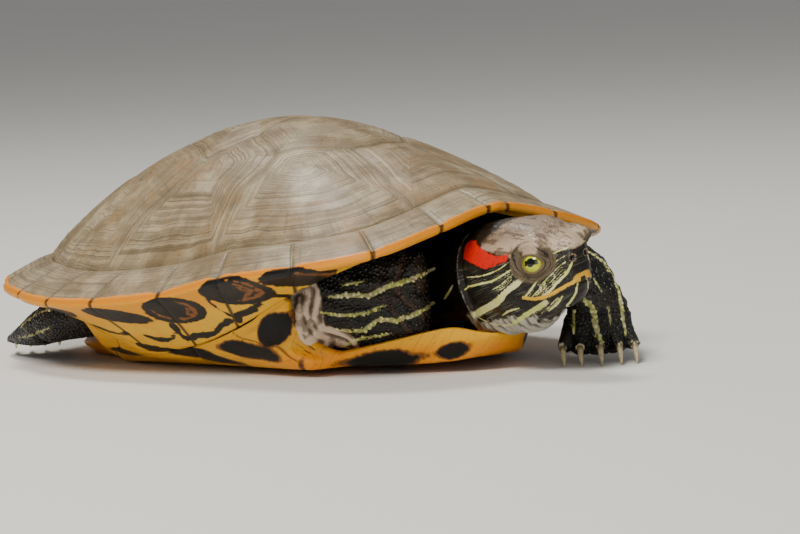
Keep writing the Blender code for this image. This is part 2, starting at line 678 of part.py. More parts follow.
def build_hind_leg(side, sign):
    """A hind leg tucked under the rear rim, with its webbed foot turned back."""
    stations = (
        ((-46.0, 46.0 * sign, 18.0), 6.0, 8.5), ((-54.0, 53.5 * sign, 17.5), 9.0, 9.0),
        ((-64.0, 58.0 * sign, 16.0), 9.6, 8.6), ((-73.0, 58.0 * sign, 13.6), 8.6, 7.8),
    )
    rings = soft_tube(stations, 14, upright=True, end=(-1, 0, 0))
    solid(f"hindleg_{side}", rings, "skin")
    foot = (
        ((-73.5, 57.9 * sign, 13.4), 8.4, 7.4), ((-80.0, 55.6 * sign, 11.0), 8.6, 5.8),
        ((-88.0, 51.0 * sign, 8.4), 10.4, 4.2), ((-95.0, 46.0 * sign, 6.6), 12.0, 2.6),
        ((-98.5, 43.4 * sign, 5.8), 11.6, 1.5),
    )
    ahead = Vector((-0.80, -0.60 * sign, 0.0))
    across = Vector((-0.60 * sign, 0.80, 0.0))
    rings = soft_tube(foot, 14, upright=True, start=(-1, 0, 0), end=ahead)
    solid(f"hindfoot_{side}", rings, "skin")
    for number in range(1, 5):
        shift = (number - 2.5) * 5.2
        root = Vector((-98.5, 43.4 * sign, 5.4)) + across * shift + ahead * 0.7
        claw(f"claw_hind_{side}_{number}", root, ahead + Vector((0, 0, -0.28)), HIND_CLAW)


def build_tail():
    """The short tail, laid to the left under the rim."""
    solid("tail", soft_tube(TAIL_STATIONS, 12, start=(-1, 0, 0)), "skin")


def claw(name, root, direction, size):
    """A horny claw: a tapered, down-curved cone from its root."""
    length, wide = size
    ahead = Vector(direction).normalized()
    across = Vector((0.0, 0.0, 1.0)).cross(ahead).normalized()
    rise = ahead.cross(across)
    rings = []
    for k in range(CLAW_STEPS):
        share = k / CLAW_STEPS
        sag = -0.16 * length * share ** 2
        radius = wide * (1.0 - 0.75 * share)
        centre = Vector(root) + ahead * (length * share) + rise * sag
        rings.append(oval(centre, across, rise, radius, radius * 1.15, CLAW_SIDES))
    rings.append([Vector(root) + ahead * length - rise * (0.16 * length)])
    solid(name, rings, "claw", rests=True)


def main():
    """Build every sub-part."""
    clear_scene()
    build_carapace()
    build_plastron()
    build_trunk()
    build_neck()
    build_head()
    build_left_foreleg()
    build_right_foreleg()
    for side, sign in (("left", 1.0), ("right", -1.0)):
        build_hind_leg(side, sign)
    build_tail()


main()
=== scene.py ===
"""A red-eared slider turtle at rest: the finished look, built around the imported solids.

Shapes are worked out in the shell's own axes in millimetres (X forward, Y to the animal's
left, Z up from the underside of the plastron) and then placed in the part's frame in metres.
"""

import logging
import math
from contextlib import contextmanager
from dataclasses import dataclass, field
from enum import Enum
from typing import Callable, Iterator, Optional, Sequence

import bmesh
import bpy
import numpy as np
from mathutils import Matrix, Vector, kdtree
from mathutils.bvhtree import BVHTree


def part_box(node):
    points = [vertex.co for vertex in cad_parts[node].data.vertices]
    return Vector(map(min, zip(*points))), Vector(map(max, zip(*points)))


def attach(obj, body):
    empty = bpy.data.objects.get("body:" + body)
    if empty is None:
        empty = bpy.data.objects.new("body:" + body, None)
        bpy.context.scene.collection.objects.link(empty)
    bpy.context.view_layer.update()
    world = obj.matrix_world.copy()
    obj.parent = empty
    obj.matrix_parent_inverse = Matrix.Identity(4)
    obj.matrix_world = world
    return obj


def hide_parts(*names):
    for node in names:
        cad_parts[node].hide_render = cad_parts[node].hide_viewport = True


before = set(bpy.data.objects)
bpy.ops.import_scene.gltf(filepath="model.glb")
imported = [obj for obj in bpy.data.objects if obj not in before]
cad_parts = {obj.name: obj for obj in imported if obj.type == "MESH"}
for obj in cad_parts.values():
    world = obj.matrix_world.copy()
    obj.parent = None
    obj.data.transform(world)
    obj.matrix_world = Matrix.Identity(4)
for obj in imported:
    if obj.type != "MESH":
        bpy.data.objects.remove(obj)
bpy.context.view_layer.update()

MM = 0.001
PER_METRE = 1000.0
FAR = 50.0
SEAM_STEPS = (0.0, 0.35, 0.75, 1.3, 2.0, 3.0)
MERGE = 0.02 * MM
SEED = 7
Array = np.ndarray
Colour = tuple[float, float, float]
LOG = logging.getLogger("turtle")


# ------------------------------------------------------------------ places and curves

@dataclass(frozen=True)
class Stance:
    """How the shell and the head sit in the part's frame. Sizes are in millimetres."""

    pitch: float = math.radians(1.2)
    heel: float = -70.0
    head_place: tuple[float, float, float] = (137.95, -0.5, 34.65)
    head_yaw: float = math.radians(-4.0)
    head_pitch: float = math.radians(9.0)
    eye: tuple[float, float, float] = (-13.0, 6.5, 0.8)

    def head(self) -> Matrix:
        """Return the matrix from the head's axes to the shell's."""
        turn = Matrix.Rotation(self.head_yaw, 4, "Z") @ Matrix.Rotation(-self.head_pitch, 4, "Y")
        return Matrix.Translation(self.head_place) @ turn

    def matrix(self) -> Matrix:
        """Return the matrix from the shell's axes to the part's frame, in metres.

        The right eye's solid says where the frame's origin is.
        """
        pitched = Matrix.Rotation(-self.pitch, 4, "Y") @ Matrix.Translation((-self.heel, 0, 0))
        scaled = Matrix.Scale(MM, 4) @ pitched
        low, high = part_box("eye_right")
        eye = scaled @ self.head() @ Vector((self.eye[0], -self.eye[1], self.eye[2]))
        return Matrix.Translation((low + high) / 2 - eye) @ scaled


STANCE = Stance()
PLACE = STANCE.matrix()
HEAD = STANCE.head()


def moved(points: Array, matrix: Matrix) -> Array:
    """Carry points through a matrix.

    Args:
        points: Rows of x, y, z.
        matrix: A 4 x 4 matrix.

    Returns:
        The moved rows.
    """
    grid = np.array(matrix)
    return np.asarray(points, float) @ grid[:3, :3].T + grid[:3, 3]


def hermite(keys: Sequence[float], values: Sequence, wanted: Array) -> Array:
    """Read a smooth curve through values at increasing keys.

    Args:
        keys: Increasing places of the values.
        values: One number or row per key.
        wanted: Places to read.

    Returns:
        One row per wanted place.
    """
    keys = np.asarray(keys, float)
    values = np.asarray(values, float).reshape(len(keys), -1)
    steps = np.diff(values, axis=0) / np.diff(keys)[:, None]
    slopes = np.vstack([steps[:1], steps, steps[-1:]])
    spans = np.concatenate([[1.0], np.diff(keys), [1.0]])
    share = (spans[:-1] / (spans[:-1] + spans[1:]))[:, None]
    slopes = slopes[:-1] * (1.0 - share) + slopes[1:] * share
    wanted = np.atleast_1d(np.asarray(wanted, float))
    cell = np.clip(np.searchsorted(keys, wanted, side="right") - 1, 0, len(keys) - 2)
    span = (keys[cell + 1] - keys[cell])[:, None]
    u = (wanted[:, None] - keys[cell][:, None]) / span
    start, end = values[cell], values[cell + 1]
    return (
        (2 * u ** 3 - 3 * u ** 2 + 1) * start + (u ** 3 - 2 * u ** 2 + u) * span * slopes[cell]
        + (3 * u ** 2 - 2 * u ** 3) * end + (u ** 3 - u ** 2) * span * slopes[cell + 1]
    )


def smooth_path(points: Sequence, step: float) -> Array:
    """Return points about one step apart on a smooth curve through the given points.

    Args:
        points: The points, in two or three dimensions.
        step: Wanted distance.

    Returns:
        The close points, in order.
    """
    points = np.asarray(points, float)
    keys = np.concatenate([[0.0], np.cumsum(np.linalg.norm(np.diff(points, axis=0), axis=1))])
    count = max(int(math.ceil(keys[-1] / step)), 2)
    return hermite(keys, points, np.linspace(0.0, keys[-1], count + 1))


def bell(distance: Array, width: float) -> Array:
    """Return 1 at no distance, falling smoothly over a width."""
    return np.exp(-(np.asarray(distance) / width) ** 2)


def ramp(value: Array, low: float, high: float) -> Array:
    """Return a smooth step from 0 at low to 1 at high."""
    share = np.clip((np.asarray(value, float) - low) / (high - low), 0.0, 1.0)
    return share * share * (3.0 - 2.0 * share)


def chain_distance(points: Array, path: Array, widths: object = 0.0) -> Array:
    """Return how far points lie outside a path.

    Args:
        points: Rows of coordinates, in two or three dimensions.
        path: The path's points.
        widths: Half-width of the path, one for all or one for each of its points.

    Returns:
        Signed distances, negative inside the stroke.
    """
    best = np.full(len(points), 1e3)
    widths = np.broadcast_to(widths, len(path))
    for a, b, wide_a, wide_b in zip(path[:-1], path[1:], widths[:-1], widths[1:]):
        along = b - a
        share = np.clip((points - a) @ along / max(float(along @ along), 1e-9), 0.0, 1.0)
        gap = np.linalg.norm(points - a - share[:, None] * along, axis=1)
        best = np.minimum(best, gap - wide_a - (wide_b - wide_a) * share)
    return best


def oval_distance(points: Array, centre: Sequence[float], half: Sequence[float], tilt: float) -> Array:
    """Return signed distances to an oval in a plane, negative inside it.

    Args:
        points: Rows of two coordinates.
        centre: The oval's middle.
        half: Its half sizes.
        tilt: Its turn in radians.

    Returns:
        One distance per point.
    """
    offset = points - np.asarray(centre, float)
    cosine, sine = math.cos(tilt), math.sin(tilt)
    along = offset[:, 0] * cosine + offset[:, 1] * sine
    across = -offset[:, 0] * sine + offset[:, 1] * cosine
    return (np.hypot(along / half[0], across / half[1]) - 1.0) * min(half)


def one_sided(points: Array) -> Array:
    """Return the points with every y taken as positive."""
    return points * [1.0, 0.0, 1.0] + np.abs(points) * [0.0, 1.0, 0.0]


# ------------------------------------------------------------------ meshes

def new_object(name: str, data: bpy.types.ID) -> bpy.types.Object:
    """Put a new object in the scene.

    Args:
        name: Name of the object.
        data: Its mesh, lamp or camera data.

    Returns:
        The object.
    """
    obj = bpy.data.objects.new(name, data)
    bpy.context.scene.collection.objects.link(obj)
    return obj


def vertex_rows(mesh: bpy.types.Mesh, key: str = "co") -> Array:
    """Return the places of a mesh's vertices, or their normals.

    Args:
        mesh: The mesh.
        key: Blender's name of what is read.

    Returns:
        Rows of x, y, z.
    """
    rows = np.empty(len(mesh.vertices) * 3)
    mesh.vertices.foreach_get(key, rows)
    return rows.reshape(-1, 3)


def placed(mesh: bpy.types.Mesh, rows: Array, low: float = 0.0) -> None:
    """Move a mesh's vertices to new places, none of them lower than a height.

    Args:
        mesh: The mesh.
        rows: The new places.
        low: The lowest height, in metres.
    """
    rows[:, 2] = np.maximum(rows[:, 2], low)
    mesh.vertices.foreach_set("co", rows.reshape(-1))
    mesh.update()


def applied(obj: bpy.types.Object) -> None:
    """Turn an object's modifiers into its plain mesh.

    Args:
        obj: The object.
    """
    bpy.context.view_layer.update()
    deps = bpy.context.evaluated_depsgraph_get()
    mesh = bpy.data.meshes.new_from_object(obj.evaluated_get(deps), preserve_all_data_layers=True, depsgraph=deps)
    obj.modifiers.clear()
    obj.data = mesh


@contextmanager
def opened(mesh: bpy.types.Mesh) -> Iterator[bmesh.types.BMesh]:
    """Open a mesh for editing, and write it back at the end.

    Args:
        mesh: The mesh.

    Returns:
        The open mesh, for a with statement.
    """
    work = bmesh.new()
    work.from_mesh(mesh)
    yield work
    work.to_mesh(mesh)
    work.free()


class Patchwork:
    """Grids of points with named values, joined into one mesh.

    The values are kept on the corners of the faces, so they may jump where grids meet.
    """

    def __init__(self, names: Sequence[str]) -> None:
        """Start empty, with the names of the values that every grid gives.

        Args:
            names: Names of the values.
        """
        self.names = list(names)
        self.points: list[Array] = []
        self.quads: list[Array] = []
        self.values: dict[str, list[Array]] = {name: [] for name in self.names}
        self.count = 0

    def grid(self, points: Array, values: dict[str, Array], closed: bool = False) -> None:
        """Add a grid.

        Args:
            points: Rows by columns by x, y, z, in the shell's millimetres.
            values: Named values, each a number or rows by columns. Missing ones are 0.
            closed: Whether the last column joins the first.
        """
        rows, columns = points.shape[:2]
        index = np.arange(rows * columns).reshape(rows, columns) + self.count
        if closed:
            index = np.concatenate([index, index[:, :1]], axis=1)
        quads = np.stack([index[:-1, :-1], index[:-1, 1:], index[1:, 1:], index[1:, :-1]], -1)
        self.quads.append(quads.reshape(-1, 4))
        self.points.append(points.reshape(-1, 3))
        for name in self.names:
            value = np.broadcast_to(np.asarray(values.get(name, 0.0), float), (rows, columns))
            self.values[name].append(value.reshape(-1))
        self.count += rows * columns

    def build(self, name: str) -> bpy.types.Object:
        """Join all grids into one object in the part's frame, with its normals pointing out.

        Args:
            name: Name of the object and its mesh.

        Returns:
            The object.
        """
        points = moved(np.concatenate(self.points), PLACE)
        quads = np.concatenate(self.quads)
        mesh = bpy.data.meshes.new(name)
        mesh.from_pydata(points.tolist(), [], quads.tolist())
        for key in self.names:
            layer = mesh.attributes.new(key, "FLOAT", "CORNER")
            layer.data.foreach_set("value", np.concatenate(self.values[key])[quads.reshape(-1)])
        with opened(mesh) as work:
            bmesh.ops.remove_doubles(work, verts=work.verts, dist=MERGE)
            bmesh.ops.recalc_face_normals(work, faces=work.faces)
            if work.calc_volume(signed=True) < 0.0:
                bmesh.ops.reverse_faces(work, faces=work.faces)
        mesh.shade_smooth()
        return new_object(name, mesh)


# ------------------------------------------------------------------ materials

def _sum(operation: str, turned: bool = False) -> Callable:
    """Return a method that works out a sum inside a node tree.

    Args:
        operation: Blender's name of the sum.
        turned: Whether the other number comes first.

    Returns:
        The method.
    """
    def method(self: "Number", other: object = 0.0) -> "Number":
        """Add the sum to the tree."""
        return self.tree.math(operation, *((other, self) if turned else (self, other)))
    return method


class Number:
    """What one output of a node tree carries, with plain arithmetic."""

    __add__ = __radd__ = _sum("ADD")
    __mul__ = __rmul__ = _sum("MULTIPLY")
    __sub__, __rsub__ = _sum("SUBTRACT"), _sum("SUBTRACT", turned=True)
    __pow__, __abs__, __rtruediv__ = _sum("POWER"), _sum("ABSOLUTE"), _sum("DIVIDE", turned=True)

    def __init__(self, tree: "Tree", socket: bpy.types.NodeSocket) -> None:
        """Hold an output of a tree."""
        self.tree, self.socket = tree, socket

    def between(self, low: object, high: object) -> "Number":
        """Return a smooth step from 0 at low to 1 at high, or down where low is above high."""
        return self.tree.read("ShaderNodeMapRange", "Result", {
            "Value": self, "From Min": low, "From Max": high}, interpolation_type="SMOOTHSTEP")

    def spread(self, low: float, high: float) -> "Number":
        """Return the number stretched from 0 to 1 onto low to high."""
        return self.tree.read("ShaderNodeMapRange", "Result", {"Value": self, "To Min": low, "To Max": high})


class Tree:
    """Short ways to add and join the nodes of one tree."""

    def __init__(self, tree: bpy.types.NodeTree) -> None:
        """Work on a node tree."""
        self.tree = tree

    def feed(self, socket: bpy.types.NodeSocket, value: object) -> None:
        """Set an input, or join another node's output to it.

        Args:
            socket: The input.
            value: A plain value, a colour or another node's output.
        """
        if isinstance(value, Number):
            self.tree.links.new(value.socket, socket)
        else:
            socket.default_value = (*value, 1.0) if socket.type == "RGBA" else value

    def add(self, kind: str, inputs: Optional[dict] = None, **settings: object) -> bpy.types.Node:
        """Add a node.

        Args:
            kind: Blender's name of the node's type.
            inputs: Socket name or number to a value or to another node's output.
            settings: The node's own settings.

        Returns:
            The new node.
        """
        node = self.tree.nodes.new(kind)
        for name, value in settings.items():
            setattr(node, name, value)
        for key, value in (inputs or {}).items():
            self.feed(node.inputs[key], value)
        return node

    def read(self, kind: str, output: object, inputs: Optional[dict] = None, **settings: object) -> Number:
        """Add a node and return one of its outputs, by name or number."""
        return Number(self, self.add(kind, inputs, **settings).outputs[output])

    def value(self, name: str) -> Number:
        """Read a named number of the mesh."""
        return self.read("ShaderNodeAttribute", "Fac", attribute_name=name)

    def place(self) -> Number:
        """Read the point's place on the object."""
        return self.read("ShaderNodeTexCoord", "Object")

    def math(self, operation: str, first: object, second: object = 0.0) -> Number:
        """Return the result of a sum of one or two numbers."""
        return self.read("ShaderNodeMath", 0, {0: first, 1: second}, operation=operation)

    def vector(self, x: object, y: object, z: object = 0.0) -> Number:
        """Join three numbers into a vector."""
        return self.read("ShaderNodeCombineXYZ", 0, {0: x, 1: y, 2: z})

    def mix(self, share: object, first: object, second: object) -> Number:
        """Return a blend of two colours."""
        return self.read("ShaderNodeMix", 2, {0: share, 6: first, 7: second}, data_type="RGBA")

    def layers(self, colour: object, *coats: tuple) -> Number:
        """Lay coats over a colour in order, each a mask and a colour.

        Args:
            colour: The lowest colour.
            coats: Mask and colour of each coat.

        Returns:
            The covered colour.
        """
        for mask, coat in coats:
            colour = self.mix(mask, colour, coat)
        return colour

    def noise(self, scale: object, detail: float = 3.0, roughness: float = 0.5,
              vector: Optional[Number] = None) -> Number:
        """Return cloudy noise over the object's own coordinates, or over a given vector."""
        return self.read("ShaderNodeTexNoise", "Fac", {
            "Vector": vector or self.place(), "Scale": scale, "Detail": detail, "Roughness": roughness})

    def mottle(self, size: float, sharpness: float) -> Number:
        """Return the shared mottling, with blotches of a size in millimetres."""
        return self.read("ShaderNodeGroup", "Mask", {
            "Size mm": size, "Sharpness": sharpness}, node_tree=EFFECTS.grime)

    def marking(self, distance: object, ragged: float, soft: float, grain: float) -> Number:
        """Return the mask of a marking, from its distance or from the name of the mesh's number.

        Args:
            distance: Millimetres from the marking, or the name of that number.
            ragged: How ragged the edge is, in millimetres.
            soft: How soft it is.
            grain: Size of its wander.

        Returns:
            The mask.
        """
        return self.read("ShaderNodeGroup", "Mask", {
            "Distance": self.value(distance) if isinstance(distance, str) else distance,
            "Ragged mm": ragged, "Soft mm": soft, "Grain mm": grain}, node_tree=EFFECTS.outline)


def new_group(name: str, inputs: dict[str, float]) -> tuple[Tree, dict[str, Number]]:
    """Start a shader node group that gives a mask.

    Args:
        name: Name of the group.
        inputs: Names of the number inputs with their defaults.

    Returns:
        A Tree to fill the group with, and its inputs.
    """
    group = bpy.data.node_groups.new(name, "ShaderNodeTree")
    for key, default in inputs.items():
        group.interface.new_socket(key, in_out="INPUT", socket_type="NodeSocketFloat").default_value = default
    group.interface.new_socket("Mask", in_out="OUTPUT", socket_type="NodeSocketFloat")
    tree = Tree(group)
    given = tree.add("NodeGroupInput")
    return tree, {key: Number(tree, given.outputs[key]) for key in inputs}


class SharedEffects:
    """Effects that several finishes use, each a node group built once."""

    def __init__(self) -> None:
        """Build every group."""
        self.grime = self._grime()
        self.outline = self._outline()

    @staticmethod
    def _grime() -> bpy.types.NodeTree:
        """Build cloudy blotches, as a mask."""
        tree, given = new_group("mottling", {"Size mm": 6.0, "Sharpness": 0.2})
        sharp = given["Sharpness"]
        mask = tree.noise(PER_METRE / given["Size mm"], 4.0).between(0.5 - sharp, 0.5 + sharp)
        tree.add("NodeGroupOutput", {"Mask": mask})
        return tree.tree

    @staticmethod
    def _outline() -> bpy.types.NodeTree:
        """Build the natural, slightly ragged edge of a marking from its distance in millimetres."""
        tree, given = new_group(
            "marking", {"Distance": 0.0, "Ragged mm": 0.3, "Soft mm": 0.2, "Grain mm": 1.2})
        grain = tree.noise(PER_METRE / given["Grain mm"], 2.0) - 0.5
        edge = given["Distance"] + grain * (given["Ragged mm"] * 3.0)
        tree.add("NodeGroupOutput", {"Mask": edge.between(given["Soft mm"], given["Soft mm"] * -1.0)})
        return tree.tree


EFFECTS = SharedEffects()


class Finish(Tree):
    """A material while it is made: a tree that ends in a Principled BSDF."""

    def __init__(self, name: str) -> None:
        """Start the material.

        Args:
            name: Name of the material.
        """
        self.material = bpy.data.materials.new(name)
        self.material.use_nodes = True
        super().__init__(self.material.node_tree)

    def done(self, inputs: dict[str, object], height: Optional[Number] = None,
             strength: float = 0.0, reach: float = 0.0) -> bpy.types.Material:
        """Join everything to the shader.

        Args:
            inputs: The shader's inputs by name.
            height: Height of the fine relief, if there is any.
            strength: Strength of the relief.
            reach: Its greatest height in metres.

        Returns:
            The finished material.
        """
        shader = self.tree.nodes["Principled BSDF"]
        if height:
            inputs["Normal"] = self.read("ShaderNodeBump", "Normal", {
                "Height": height, "Strength": strength, "Distance": reach})
        for key, value in inputs.items():
            self.feed(shader.inputs[key], value)
        return self.material


@dataclass(frozen=True)
class ShellHorn:
    """Weathered horn of the carapace, with its orange rim and blotched underside."""

    tan: Colour = (0.265, 0.180, 0.088)
    grey: Colour = (0.42, 0.34, 0.21)
    olive: Colour = (0.085, 0.060, 0.028)
    warm: Colour = (0.33, 0.17, 0.055)
    seam: Colour = (0.42, 0.33, 0.19)
    rim: Colour = (0.82, 0.27, 0.0003)
    ground: Colour = (0.80, 0.33, 0.0015)
    pale: Colour = (0.84, 0.49, 0.022)
    black: Colour = (0.004, 0.003, 0.002)
    amber: Colour = (0.22, 0.075, 0.012)
    inside: Colour = (0.05, 0.04, 0.03)
    roughness: float = 0.42

    def material(self) -> bpy.types.Material:
        """Build the finish."""
        tree = Finish("carapace_horn")
        ring, seam, along = tree.value("ring"), tree.value("seam"), tree.value("along")
        plate, edge, under = tree.value("plate"), tree.value("edge"), tree.value("under")
        # Growth lines: irregular bands that follow each plate's outline.
        wander = tree.noise(90.0, 2.0)
        bands = ring * 9.0 + wander * 0.7
        lines = tree.noise(3.4, 5.0, 0.62, tree.vector(bands, plate * 50.0))
        fine = tree.noise(2.0, 3.0, 0.55, tree.vector(bands * 3.2, plate * 90.0))
        # Fine ribs and long streaks that run across the growth lines.
        ribs = tree.noise(1.0, 3.0, 0.5, tree.vector(along * 0.9, ring * 2.5, plate))
        streak = tree.noise(1.0, 4.0, 0.6, tree.vector(along * 0.10, ring * 7.0, plate))
        line = (seam + wander * 0.3).between(0.55, 0.32)
        colour = tree.layers(
            self.tan, (tree.mottle(16.0, 0.16), self.grey), (streak.between(0.52, 0.72) * 0.7, self.grey),
            (tree.mottle(7.0, 0.10) * 0.35, self.olive), (fine.between(0.48, 0.38) * 0.60, self.olive),
            (lines.between(0.50, 0.40) * 0.40, self.olive), (lines.between(0.60, 0.70) * 0.45, self.grey),
            (ribs.between(0.54, 0.70) * 0.32, self.olive),
            (tree.noise(55.0, 5.0, 0.6).between(0.52, 0.68) * 0.40, self.warm),
            (tree.noise(900.0, 2.0).between(0.60, 0.70) * 0.35, self.olive),
            # painted shade: darker beside each seam, where it is grooved
            (seam.between(2.2, 0.6) * 0.35, self.olive), (line * 0.32, self.seam),
            ((edge + (tree.noise(260.0) - 0.5) * 2.2).between(-1.7, -0.9), self.rim))
        # The yellow underside with its blotches.
        below = tree.layers(
            self.ground, (edge.between(4.0, 17.0), self.pale), (tree.mottle(5.0, 0.2) * 0.35, self.rim),
            (tree.marking("amber", 0.5, 0.35, 2.0), self.amber),
            (tree.noise(1500.0, 2.0).between(0.55, 0.72) * 0.2, self.amber),
            (tree.marking("blot", 0.55, 0.25, 2.2), self.black), (line * 0.8, self.amber))
        colour = tree.layers(
            colour, (edge.between(0.6, 1.4), below),
            (tree.marking("blot", 0.5, 0.25, 2.2) * edge.between(-1.0, 0.2), self.black),
            (seam.between(1.3, 0.5) * edge.between(-2.0, -0.8) * 0.8, self.black),
            (under.between(1.4, 1.6), self.inside))
        top = edge.between(1.0, -1.0)
        height = (lines + fine * 0.45) * top + ribs * (top * 0.22) + tree.noise(420.0, 4.0, 0.6) * 0.35
        rough = tree.noise(140.0, 5.0, 0.6).spread(self.roughness - 0.12, self.roughness + 0.16)
        return tree.done({
            "Base Color": colour, "Roughness": rough, "Specular IOR Level": 0.32, "Coat Weight": 0.07,
            "Coat Roughness": 0.18}, height - line * 0.8, 0.6, 0.0006)


@dataclass(frozen=True)
class BellyHorn:
    """Smooth orange-yellow horn of the plastron, with its dark blotches."""

    ground: Colour = (0.84, 0.26, 0.0004)
    pale: Colour = (0.84, 0.42, 0.012)
    brown: Colour = (0.20, 0.07, 0.014)
    black: Colour = (0.004, 0.003, 0.002)
    roughness: float = 0.36

    def material(self) -> bpy.types.Material:
        """Build the finish."""
        tree = Finish("plastron_horn")
        lines = tree.noise(1.6, 4.0, 0.5, tree.vector(tree.value("ring") * 0.8, tree.noise(60.0)))
        line = (tree.value("seam") + tree.noise(200.0) * 0.25).between(0.78, 0.38)
        colour = tree.layers(
            tree.mix(tree.value("front"), self.pale, self.ground), (tree.mottle(9.0, 0.2) * 0.30, self.pale),
            (lines.between(0.52, 0.68) * 0.30, self.brown),
            (tree.noise(700.0, 3.0).between(0.58, 0.70) * 0.22, self.brown), (line * 0.85, self.brown),
            (tree.marking("amber", 0.35, 0.35, 1.6), self.brown),
            (tree.marking("blot", 0.4, 0.25, 1.6), self.black))
        rough = tree.noise(160.0, 5.0).spread(self.roughness - 0.1, self.roughness + 0.14)
        return tree.done({
            "Base Color": colour, "Roughness": rough, "Specular IOR Level": 0.22, "Coat Weight": 0.06,
            "Coat Roughness": 0.14}, lines * 0.5 + tree.noise(500.0, 4.0) * 0.3 - line, 0.45, 0.0005)


# ------------------------------------------------------------------ shell

@dataclass
class Carapace:
    """The upper shell: plates laid out on a dome, parted by seams."""

    seams: tuple = (
        (100.3, 4.4, 52.2), (100.4, 26.5, 47.6), (94.2, 52.4, 41.0), (71.8, 69.0, 36.8),
        (40.6, 75.6, 33.0), (13.8, 79.5, 27.6), (-15.6, 85.2, 25.2), (-40.4, 85.0, 25.0),
        (-64.5, 78.5, 26.5), (-87.0, 66.0, 29.0), (-102.0, 46.0, 30.0), (-110.0, 23.5, 29.5),
        (-110.5, 0.0, 28.0),
    )
    nuchal: tuple = (100.9, 0.0, 52.6)
    nuchal_span: float = 0.5
    per_side: int = 12
    depth: tuple = (12.0, 12.5, 14.0, 18.5, 17.6, 18.8, 22.5, 20.0, 14.0, 13.0, 12.5, 12.0, 12.0)
    drop: tuple = (2.5, 2.8, 4.0, 9.8, 17.8, 19.2, 19.4, 12.5, 4.0, 3.2, 3.0, 3.0, 3.0)
    top: float = 82.0
    kink: float = 0.84
    rises: tuple = (6.2, 8.0, 10.3)
    edge_height: float = 2.6
    wall: float = 5.0
    scallop: float = 1.6
    columns: int = 28
    groove_depth: float = 0.42
    groove_width: float = 0.55
    ray_rows: int = 30
    # Where plates meet, seen from above, on the left half. Rim marks are plate and column.
    corners: dict = field(default_factory=lambda: {
        "a": (42.2, 12.0), "b": (22.6, 29.7), "c": (4.0, 21.0), "d": (-7.5, 36.0), "e": (-32.0, 22.0),
        "f": (-48.0, 33.0), "g": (-68.0, 14.0)})
    marks: dict = field(default_factory=lambda: {
        "m1": (1, 3), "m2": (4, 10), "m3": (6, 12), "m4": (8, 11), "m5": (10, 14)})
    # Seams of the left half: the two corners that each joins, and what it passes through.
    seam_paths: dict = field(default_factory=lambda: {
        "m1a": ("m1", "a", (73.7, 21.3), (64.3, 18.0)), "ab": ("a", "b", (32.0, 20.3)),
        "bm2": ("b", "m2", (23.2, 39.0), (21.6, 46.0), (23.4, 54.0)), "bc": ("b", "c"), "cd": ("c", "d"),
        "dm3": ("d", "m3", (-13.3, 49.8), (-18.4, 58.6)), "de": ("d", "e"), "ef": ("e", "f"),
        "fm4": ("f", "m4", (-55.0, 47.0)), "fg": ("f", "g"), "gm5": ("g", "m5", (-79.0, 23.5))})
    side_eyes: tuple = (  # centre, half sizes and tilt of each eye-shaped mark, then its solid core
        ((69.0, 33.4), (10.6, 4.6), 0.22, (66.0, 33.4), (6.4, 4.4)),
        ((44.5, 29.0), (12.6, 6.8), 0.20, (40.6, 29.6), (6.2, 6.0)),
        ((15.8, 21.9), (11.6, 6.4), 0.16, (14.2, 22.8), (6.4, 5.2)),
        ((-9.0, 19.9), (12.0, 3.4), -0.18, (-9.0, 19.9), (10.8, 2.8)),
    )
    side_bands: tuple = (  # side-view path and width of each dark band over the bridge
        (((34.4, 17.4), (36.1, 19.6), (39.0, 20.3), (44.1, 22.4), (49.0, 25.2), (53.7, 26.6), (56.0, 26.0)), 2.3),
        (((11.4, 11.0), (13.6, 11.9), (17.8, 12.3), (22.0, 13.0), (26.7, 15.6), (31.6, 17.6)), 2.6),
        (((-6.0, 12.0), (-2.0, 10.6), (1.5, 10.6), (5.8, 12.3), (9.4, 15.0)), 1.9),
        (((9.6, 16.4), (8.6, 13.6), (9.2, 11.2)), 2.8),
        (((60.5, 27.6), (64.5, 28.6), (69.0, 30.4), (73.0, 32.0)), 1.5),
        (((-30.0, 15.6), (-24.0, 14.0), (-18.0, 12.6), (-13.0, 13.0)), 2.0),
        (((32.2, 27.0), (31.6, 23.6), (33.4, 19.8)), 1.0),
        (((-14.0, 8.4), (-9.0, 7.1), (-0.4, 6.4), (5.0, 5.2)), 3.0),
    )

    def __post_init__(self) -> None:
        """Work out the rim's table, from which every height is read."""
        self.keys, self.ring_points, self.period = self._rim_keys()
        self.span_keys = self._columns()
        edge = self.rim(np.arange(0.0, self.period, 0.02))
        heading = np.arctan2(edge[:, 1], edge[:, 0])
        order = np.argsort(heading)
        self.heading = heading[order]
        self.reach = np.linalg.norm(edge[order, :2], axis=1)
        self.edge_z = edge[order, 2]
        self.arc_keys = np.arange(-0.5, self.per_side + 0.01, 0.01)
        front = self.rim(self.arc_keys)
        self.arc = np.concatenate([[0.0], np.cumsum(np.linalg.norm(np.diff(front, axis=0), axis=1))])

    def _rim_keys(self) -> tuple[Array, Array, float]:
        """Return keys and points of the closed rim, and the key where it closes."""
        last = len(self.seams) - 1
        points = [list(seam) for seam in self.seams]
        points += [[x, -y, z] for x, y, z in self.seams[-2::-1]]
        keys = [float(k) for k in range(2 * last + 1)] + [2 * last + self.nuchal_span / 2]
        return np.array(keys), np.array(points + [list(self.nuchal)]), 2 * last + self.nuchal_span

    def _columns(self) -> Array:
        """Return the keys of the mesh's columns, closer together beside each seam."""
        def eased(count: int) -> Array:
            """Return even shares, drawn towards both ends."""
            even = np.arange(count) / count
            return 0.5 * even + 0.5 * (0.5 - 0.5 * np.cos(math.pi * even))
        plates = [k + eased(self.columns) for k in range(2 * self.per_side)]
        return np.concatenate([*plates, 2.0 * self.per_side + eased(self.columns // 2) * self.nuchal_span])

